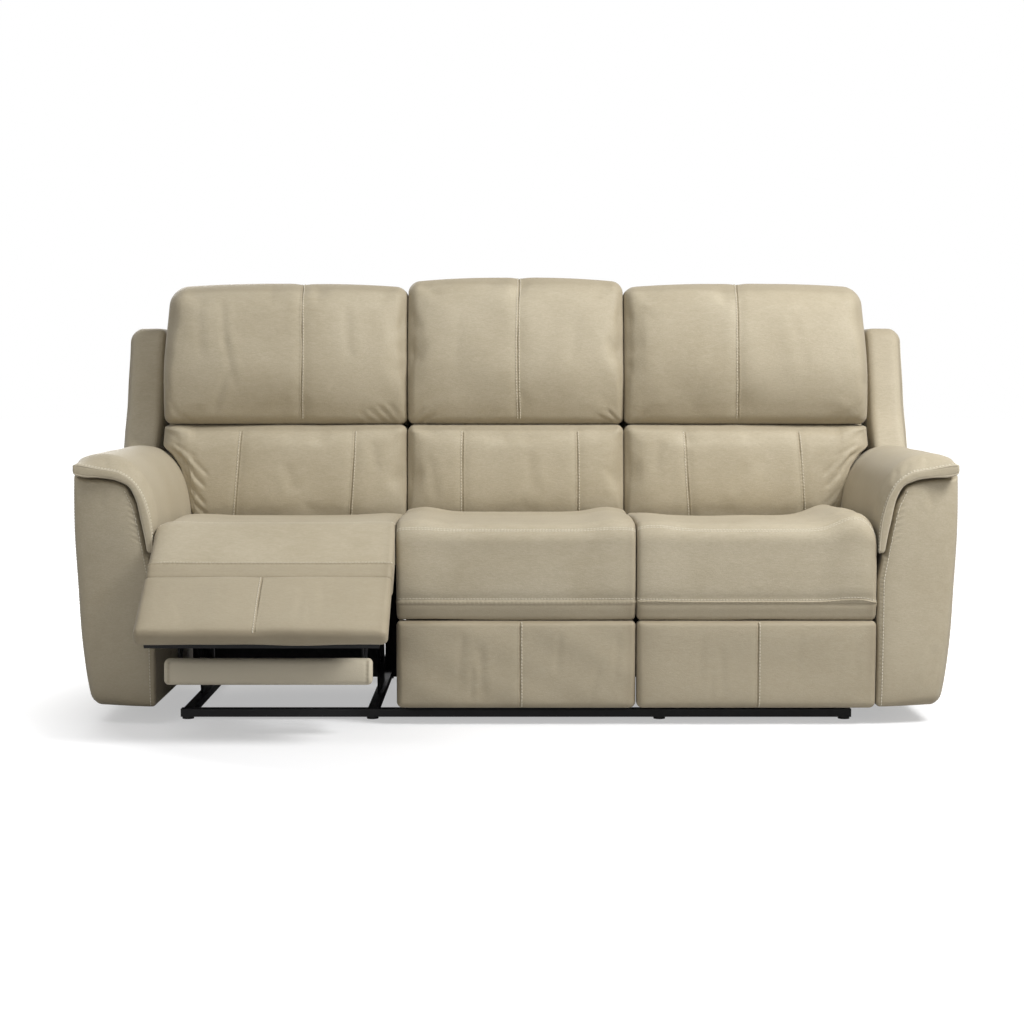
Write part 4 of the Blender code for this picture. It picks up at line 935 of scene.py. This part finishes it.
seatCreases = [
    (350, 262, 372, 304, 22, 36), (455, 262, 480, 304, 22, 40), (560, 262, 590, 304, 18, 40),
    (735, 262, 757, 306, 26, 36), (772, 262, 796, 306, 26, 36), (815, 262, 840, 304, 22, 36),
    (420, 330, 455, 425, 18, 100), (640, 330, 615, 430, 18, 110), (800, 335, 765, 440, 22, 90),
    (775, 335, 735, 430, 18, 80), (530, 320, 524, 400, 15, 90),
]
seatSewing = {"seamAt": [(0.002, 0.3085)], "stitchAt": [(-0.001, 0.3145), (0.0052, 0.4862), (0.0085, 0.49)]}
for sideName, side in sides:
    rise = lambda x, bulge=seatLook["bulge"][sideName]: seatRise(x, *seatLook["end seat"], *bulge)
    seatSkin(
        f"{sideName}_seat_top", f"{sideName}_carriage", [f"{sideName}_seat_cushion"], cushionOutline,
        *seatLook["end seat"], rise, side,
    )
    seatSkin(
        f"{sideName}_seat_front", f"{sideName}_footrest", [f"{sideName}_front_roll"], rollOutline,
        *seatLook["end seat"], rise, side, restOpening if side < 0 else 0.0, creases=seatCreases,
        slots=seatLook["slots"], **seatSewing,
    )
middleRise = lambda x: seatLook["rise"] + 0.013 * swell(x, -0.245, 0.055) + 0.013 * swell(x, 0.245, 0.055)
seatSkin(
    "middle_seat_top", "sofa_body", ["middle_seat_cushion"], wholeSeatOutline, *seatLook["middle seat"],
    middleRise, 1, creases=np.subtract(seatCreases, (600, 0, 600, 0, 0, 0)), **seatSewing,
)
print("seats made")


panelLook = {
    "bottom": 0.042, "top": 0.2612, "thick": 0.045, "full": 0.006, "radii": (0.016, 0.016, 0.012, 0.012),
    "step": 0.005, "thread": 0.0045, "darker": 1.05, "seamAt": {"left": 0.612, "right": 0.603, "middle": 0.01},
}


# Folds of a panel, from its inner edge
panelFolds = [
    (155, 90, 165, 250, 11, 100), (215, 60, 208, 220, 13, 100), (185, 50, 190, 160, 9, 70),
    (478, 60, 508, 160, 10, 100), (398, 120, 408, 250, 10, 90), (543, 100, 553, 240, 9, 90),
]


# A panel is a soft board whose front is fuller by one less the sixth power of the way from its middle
def frontPanel(name, body, node, low, high, seamAt, side, opening=0.0, fold=0.6):
    width = high - low
    size = (width, panelLook["thick"], panelLook["top"] - panelLook["bottom"])
    place, inner = seamAt - low, 1000 * low

    def shape(a, b, c):
        full = domed(a, 6) * domed(c, 6)
        y = b * size[1] - panelLook["full"] * full * (1 - b) - 0.0015
        return columns(low + a * width, y, panelLook["bottom"] + c * size[2])

    line = straight((place, 0.0, 0.004), (place, 0.0, size[2] - 0.002))
    padded(
        name, body, [node], size, panelLook["radii"], panelLook["step"], shape, side, opening, seams=[line],
        stitches=[line + (panelLook["thread"], 0, 0)],
        creases=np.multiply(panelFolds, (1, 1, 1, 1, fold, 1)) + (inner, 0, inner, 0, 0, 0),
        # Painted shade: the panel's leather is darker all over, and more at its edges
        lump=(0.0016, 0.11, 41 + len(name)), paintedShadingAndWear=lambda unit: paintedEdgeShade(unit) + panelLook["darker"],
        groove=(0.003, 0.0014), valley=(0.0012, 0.01), fine=((place,), (), ()),
    )


for sideName, side in sides:
    frontPanel(
        f"{sideName}_footrest_panel", f"{sideName}_footrest", f"{sideName}_footrest_pad", *seatLook["end seat"],
        panelLook["seamAt"][sideName], side, restOpening if side < 0 else 0.0,
    )
frontPanel(
    "middle_lower_panel", "sofa_body", "middle_front_panel", *seatLook["middle seat"],
    panelLook["seamAt"]["middle"], 1, fold=1.0,
)


# A flipper bar fills its node's box, and the upper part of its face leans back as a parabola
flipperLook = {
    "middle": 0.6, "halfWidth": 0.252, "radii": (0.012, 0.012, 0.012, 0.012), "drawn": 0.006, "hem": 0.012,
}
for sideName, side in sides:
    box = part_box(f"{sideName}_flipper_pad")
    lowY, highY = box[0][1] - frontY, box[1][1] - frontY
    lowZ, highZ = box[0][2], box[1][2]
    size = (2 * flipperLook["halfWidth"], highY - lowY, highZ - lowZ)

    def barShape(a, b, c, lowY=lowY, lowZ=lowZ, size=size):
        y = lowY + b * size[1] + flipperLook["drawn"] * (2 * c - 0.7) ** 2 * (1 - b)
        return columns(flipperLook["middle"] - size[0] / 2 + a * size[0], y, lowZ + c * size[2])

    hems = (flipperLook["hem"], size[0] - flipperLook["hem"])
    padded(
        f"{sideName}_flipper_bar", f"{sideName}_front_links", [f"{sideName}_flipper_pad"], size,
        flipperLook["radii"], 0.0055, barShape, side, lump=(0.0008, 0.1, 53),
        # Painted light: the bar's leather is at its palest all over, where the open footrest shades it
        paintedShadingAndWear=lambda unit: -np.ones(len(unit)), groove=(0.0016, 0.0026), valley=(0.001, 0.008),
        seams=[straight((x, 0.0, 0.004), (x, 0.0, size[2] - 0.004), 12) for x in hems],
    )
print("panels made")


# The profiles are x and z in the front view: crown and piping are the cap's upper line back from and at its front
# edge, and under is its lower line
armLook = {
    "rear": 0.6535, "bottom": 0.0442, "top": 0.6185, "width": 0.2, "radii": (0.012, 0.028, 0.012, 0.016),
    "step": 0.0048, "shoulder": 0.075, "full": 0.0065, "recess": 0.02, "turned": 0.03, "flank": 0.0025,
    "outerZ": (0.04, 0.065, 0.2, 0.36, 0.5, 0.6, 0.64),
    "outerX": (1.064, 1.07, 1.09, 1.1, 1.107, 1.107, 1.105),
    "innerZ": (0.04, 0.36, 0.43, 0.507, 0.575, 0.6, 0.64),
    "innerX": (0.9006, 0.9006, 0.914, 0.93, 0.947, 0.96, 0.975),
    "slopeX": (0.96, 0.99, 1.035, 1.1), "slope": (-0.022, -0.008, 0.0, 0.012),
    "crown": [
        (1.099, 0.648), (1.094, 0.661), (1.074, 0.6705), (1.03, 0.6755), (0.985, 0.666), (0.945, 0.636),
        (0.915, 0.585), (0.9005, 0.52), (0.9, 0.431),
    ],
    "piping": [
        (1.1, 0.651), (1.088, 0.653), (1.065, 0.6495), (1.035, 0.643), (0.978, 0.63), (0.95, 0.61),
        (0.927, 0.575), (0.912, 0.53), (0.904, 0.475), (0.902, 0.431),
    ],
    "under": [
        (1.0995, 0.632), (1.093, 0.625), (1.081, 0.6215), (1.035, 0.6195), (0.99, 0.6125), (0.96, 0.597),
        (0.947, 0.575), (0.93, 0.507), (0.915, 0.431),
    ],
}
plateLook = {"y": 0.28, "z": 0.54, "halfY": 0.05, "halfZ": 0.02, "floor": 1.1015}  # leather tucks in round it


# The arm's body: its inner and outer sides follow lines up the height, its front turns outward with the width to
# the power 1.5, swells a little, and is drawn in along the cap's lower edge
def armBody(sideName, side):
    width = armLook["width"]
    size = (width, armLook["rear"] - 0.006, 0.58)
    under = evenly(curved(armLook["under"]), 60)
    capEdge = columns(under[:, 0], under[:, 0] * 0, under[:, 1])

    def shape(a, b, c):
        z = armLook["bottom"] + c * (armLook["top"] - armLook["bottom"])
        inner = np.maximum(lineThrough(z, armLook["innerZ"], armLook["innerX"]), armLook["innerX"][0])
        outer = lineThrough(z, armLook["outerZ"], armLook["outerX"])
        x = inner + a * (outer - inner)
        slope = np.interp(x, armLook["slopeX"], armLook["slope"]) * eased((c - 0.8) / 0.2)
        full = armLook["full"] * domed(a) * domed(c, 6)
        near = fromLine(columns(x, x * 0, z + slope), capEdge)[0]
        recess = armLook["recess"] * (1 - eased((near - 0.002) / 0.01))
        y = 0.005 + b * size[1] - (full - recess - armLook["turned"] * a ** 1.5) * (1 - b)
        flank = domed(b) * domed(c) * np.maximum(0.0, 2 * a - 1)
        x = x + armLook["flank"] * flank
        awayY = np.abs(y - plateLook["y"]) - plateLook["halfY"]
        awayZ = np.abs(z - plateLook["z"]) - plateLook["halfZ"]
        tucked = plateLook["floor"] + 0.01 * eased((np.maximum(awayY, awayZ) + 0.002) / 0.016)
        return columns(np.where(a > 0.5, np.minimum(x, tucked), x), y, z + slope)

    puckers = [(925 + 2.2 * k, 455 + 16 * k, 958 + 2 * k, 471 + 16 * k, 16, 28) for k in range(9)]
    folds = [(1020, 600, 1040, 540, 12, 100), (1050, 200, 1030, 100, 14, 120)]
    seams = [
        straight((0.011, 0.0, 0.006), (0.011, 0.0, 0.56)), straight((width, 0.012, 0.01), (width, 0.012, 0.56)),
    ]
    padded(
        f"{sideName}_arm_side", "sofa_body", [f"{sideName}_arm_panel"], size, armLook["radii"], armLook["step"],
        shape, side, seams=seams, stitches=[seams[0] + (0.0045, 0, 0), seams[1] + (0, 0.006, 0)],
        creases=puckers + folds, lump=(0.0013, 0.2, 61), groove=(0.002, 0.0022), valley=(0.0012, 0.008),
        # Painted shade at the edges, deepening towards the bottom of the arm
        paintedShadingAndWear=lambda unit: paintedEdgeShade(unit) + 0.9 * (1 - unit[:, 2]), outer=1.0,
    )


capLook = {
    "length": 0.42, "thick": 0.024, "radius": 0.0075, "start": -0.0045, "seam": 0.01, "thread": 0.003,
    "lump": (0.0014, 0.16, 71), "groove": (0.0016, 0.0022), "valley": (0.0012, 0.012), "paintedShadingAndWear": 0.45,
    "piping": {"upper": 0.0228, "lower": 0.0014}, "pipingRadius": 0.0021,
}
capCreases = [
    (985, 655, 960, 622, 22, 50), (955, 640, 938, 600, 22, 45), (1030, 670, 1015, 640, 14, 60),
    (930, 600, 915, 560, 20, 45),
]


# The arm's cap: a runs along the strip from the outer tip, b from its under side to its top, and c back from the
# front. Its top goes over from the piping's line to the crown's within the shoulder.
def armCap(sideName, side):
    length, thick = capLook["length"], capLook["thick"]
    size = (length, thick, armLook["rear"] - 0.003)
    crown, piping, under = (evenly(curved(armLook[key]), 240) for key in ("crown", "piping", "under"))
    share = np.linspace(0.0, 1.0, 240)

    def along(line, a):
        return columns(np.interp(a, share, line[:, 0]), np.interp(a, share, line[:, 1]))

    def surface(at):
        a, b, c = (softened(np.asarray(at, float), size, [capLook["radius"]] * 4) / np.asarray(size)).T
        y = capLook["start"] + c * size[2]
        rise = eased(y / armLook["shoulder"])[:, None]
        top = along(piping, a) * (1 - rise) + along(crown, a) * rise
        low = along(under, a)
        flat = low + b[:, None] * (top - low)
        return columns(flat[:, 0], y, flat[:, 1])

    raw, quads = boxGrid([
        placesAlong(length, 0.008, 0.005), placesAlong(thick, 0.007, 0.004), placesAlong(size[2], 0.012, 0.006),
    ])
    points = surface(raw)
    if signedVolume(points, quads) < 0:
        quads = quads[:, ::-1]
    height, span, seed = capLook["lump"]
    points = points + normalsOf(points, quads) * (height * lumps(points, span, seed))[:, None]
    points = creased(points, quads, capCreases)
    seam = straight((0.0, thick, capLook["seam"]), (length, thick, capLook["seam"]), 80)
    thread = capLook["thread"]
    lines = [evenly(surface(seam + (0.0, 0.0, shift)), 80) for shift in (0.0, -thread, thread)]
    points, marks = sewnIn(points, quads, lines[:1], capLook["groove"], capLook["valley"])
    marks["paintedShadingAndWear"] = np.full(len(points), capLook["paintedShadingAndWear"])
    sewn = stitchShapes(points, quads, lines[1:])
    cap = pieceFrom(f"{sideName}_arm_cap", points, [quads], "leather", side, marks=marks)
    register(cap, "sofa_body", [f"{sideName}_arm_pad"])
    for edge, through in capLook["piping"].items():
        line = surface(straight((0.003, through, 0.0), (length - 0.003, through, 0.0), 120)) + (0.0, 0.0002, 0.0)
        sewPiping(f"{sideName}_arm_{edge}_piping", "sofa_body", line, capLook["pipingRadius"], side)
    register(pieceFrom(f"{sideName}_arm_cap_stitching", *sewn, "thread", side), "sofa_body")


wingLook = {
    "inner": 1.0006, "outer": 1.105, "bottom": 0.0442, "top": 1.003, "thick": 0.17, "rear": 0.985,
    "frontZ": (0.044, 0.56, 0.64, 0.7, 0.76, 0.86, 0.96, 1.003),
    "front": (0.656, 0.656, 0.662, 0.706, 0.75, 0.786, 0.818, 0.835),
    "radii": (0.014, 0.018, 0.022, 0.04), "step": 0.007, "full": 0.002, "thread": 0.006,
}


# The wing behind an arm: its front follows a line up the height, and its sides are a little full
def sideWing(sideName, side):
    width = wingLook["outer"] - wingLook["inner"]
    size = (width, wingLook["thick"], wingLook["top"] - wingLook["bottom"])

    def shape(a, b, c):
        z = wingLook["bottom"] + c * size[2]
        front = lineThrough(z, wingLook["frontZ"], wingLook["front"])
        rear = wingLook["rear"] - 0.01 * (1 - c)
        full = domed(b) * domed(c, 8)
        x = wingLook["inner"] + a * size[0] + wingLook["full"] * full * (2 * a - 1)
        return columns(x, front + b * (rear - front), z)

    top = size[2] - 0.03
    seams = [straight((width, y, foot), (width, y, top)) for y, foot in ((0.02, 0.56), (0.15, 0.03))]
    padded(
        f"{sideName}_wing", "sofa_body", [f"{sideName}_side_wing"], size, wingLook["radii"], wingLook["step"],
        shape, side, seams=seams, stitches=[line + (0, wingLook["thread"], 0) for line in seams],
        lump=(0.0012, 0.2, 83), groove=(0.0026, 0.003), valley=(0.0015, 0.01), outer=1.0,
    )


for sideName, side in sides:
    armBody(sideName, side)
    armCap(sideName, side)
    sideWing(sideName, side)
print("arms made")


shellLook = {
    "top": 1.0845, "thick": 0.19, "rearZ": (0.2, 0.985), "rear": (0.905, 0.983), "ear": 0.984, "earBottom": 0.484,
    "inner": 0.301, "narrow": 0.8955, "middle": (-0.2988, 0.2988), "bottomEnd": 0.2005, "bottomMiddle": 0.0668,
    "radii": (0.012, 0.012, 0.026, 0.026), "step": 0.0085, "hem": 0.045, "edge": 0.022, "thread": 0.006,
}


# An outside back: its front lies on the back's plane, its rear leans and is a little full, and above the arm its
# outer side steps out to the ear
def backShell(name, body, node, low, high, bottom, side, ear=None):
    size = ((ear or high) - low, shellLook["thick"], shellLook["top"] - bottom)

    def shape(a, b, c):
        z = bottom + c * size[2]
        outer = np.full(len(z), high)
        if ear:
            outer = high + (ear - high) * eased((z - shellLook["earBottom"] + 0.004) / 0.012)
        rear = np.interp(z, shellLook["rearZ"], shellLook["rear"]) - 0.012 * eased((z - 0.99) / 0.09)
        full = domed(a) * domed(c)
        front = backLine(z) + 0.0004
        return columns(low + a * (outer - low), front + b * (rear + 0.004 * full - front), z)

    hem, edge, deep, thread = size[2] - shellLook["hem"], shellLook["edge"], size[1], shellLook["thread"]
    seams = [
        straight((0.012, deep, hem), (size[0] - 0.012, deep, hem), 60),
        straight((edge, deep, 0.02), (edge, deep, hem)),
        straight((size[0] - edge, deep, 0.02), (size[0] - edge, deep, hem)),
    ]
    padded(
        name, body, [node], size, shellLook["radii"], shellLook["step"], shape, side, seams=seams,
        stitches=[seams[0] + (0, 0, thread), seams[1] + (thread, 0, 0), seams[2] - (thread, 0, 0)],
        lump=(0.0018, 0.24, 91 + len(name)), groove=(0.003, 0.0045), valley=(0.002, 0.014),
    )


for sideName, side in sides:
    backShell(
        f"{sideName}_outside_back", f"{sideName}_back", f"{sideName}_back_shell", shellLook["inner"],
        shellLook["narrow"], shellLook["bottomEnd"], side, shellLook["ear"],
    )
backShell(
    "middle_outside_back", "sofa_body", "middle_back_shell", *shellLook["middle"], shellLook["bottomMiddle"], 1,
)
print("outside backs made")


# Metal, plastic and cloth-covered boards keep the shape they have in the frame and get their finish here
slotFinish = {"black_steel": "steel", "black_plastic": "plastic", "black_cloth": "cloth"}
for part in frame["record"]["subparts"]:
    if part["material_slot"] in slotFinish:
        held = frame["nodes"][part["node"]]
        if not held.material_slots:
            held.data.materials.append(None)
        for place in held.material_slots:
            place.material = finishes[slotFinish[part["material_slot"]]]


# A pale floor and backdrop: what the camera sees of them is lifted to white away from the sofa
def studio():
    look = {
        "floor": (0.56, 0.56, 0.565, 1.0), "near": 0.44, "far": 1.0, "from": 1.05, "to": 1.5, "ambient": 0.3,
        "reach": 30.0,
    }
    corners = [(x * look["reach"], y * look["reach"], 0) for x, y in ((-1, -1), (1, -1), (1, 1), (-1, 1))]
    mesh = bpy.data.meshes.new("studio_floor")
    mesh.from_pydata(corners, [], [(0, 1, 2, 3)])
    floor = placed("studio_floor", mesh)
    ground = Finish("floor_paint")
    paint = ground.node("BsdfDiffuse", {}, {"Color": look["floor"]})
    seen = ground.node("LightPath", out=0)
    away = ground.node("VectorMath", {"operation": "LENGTH"}, {0: ground.place()}, out=1)
    lift = ground.ranged(away, look["from"], look["to"], (look["near"], look["far"]))
    glow = ground.node("Emission", {}, {"Color": (1, 1, 1, 1), "Strength": seen * lift})
    both = ground.node("AddShader", {}, {0: paint, 1: glow})
    ground.node("OutputMaterial", {}, {"Surface": both})
    mesh.materials.append(ground.owner)
    world = bpy.data.worlds.new("studio")
    bpy.context.scene.world = world
    sky = Finish("", world)
    camera, mirror, through = (sky.node("LightPath", out=ray) for ray in (0, 3, 6))
    seenShare = sky.node("Math", {"operation": "MINIMUM"}, {0: camera + mirror + through, 1: 1.0})
    strength = look["ambient"] + (1.0 - look["ambient"]) * seenShare
    light = sky.node("Background", {}, {"Color": (1, 1, 1, 1), "Strength": strength})
    sky.node("OutputWorld", {}, {"Surface": light})


# Place, aim, size and power of each lamp
lampLook = {
    "key": ((3.0, -1.85, 4.0), (0.0, 0.1, 0.5), (1.7, 1.7), 232.0),
    "fill": ((-1.9, -1.7, 4.0), (-0.6, 0.2, 0.6), (1.6, 1.6), 21.0),
    "front": ((-0.8, -4.4, 1.2), (-0.2, 0.0, 0.4), (2.4, 1.6), 18.0),
    "rear": ((-2.2, 4.2, 2.8), (0.0, 0.3, 0.6), (2.0, 1.6), 70.0),
}


def lamp(name, place, aim, size, power):
    made = bpy.data.lights.new(name, "AREA")
    made.shape = "RECTANGLE"
    made.size, made.size_y = size
    made.energy = power
    held = placed(name, made)
    held.location = place
    held.rotation_euler = (Vector(aim) - Vector(place)).to_track_quat("-Z", "Y").to_euler()


def camera():
    look = {"lens": 74.4, "sensor": 36.0, "x": -0.01, "distance": 5.24, "height": 0.894, "tilt": 86.07}
    made = bpy.data.cameras.new("photo_view")
    made.lens = look["lens"]
    made.sensor_width = look["sensor"]
    held = placed("photo_view", made)
    held.location = (look["x"], frontY - look["distance"], look["height"])
    held.rotation_euler = (radians(look["tilt"]), 0.0, 0.0)
    bpy.context.scene.camera = held


studio()
for name, settings in lampLook.items():
    lamp(name, *settings)
camera()
bpy.context.scene.view_settings.view_transform = "Standard"
print("studio made")
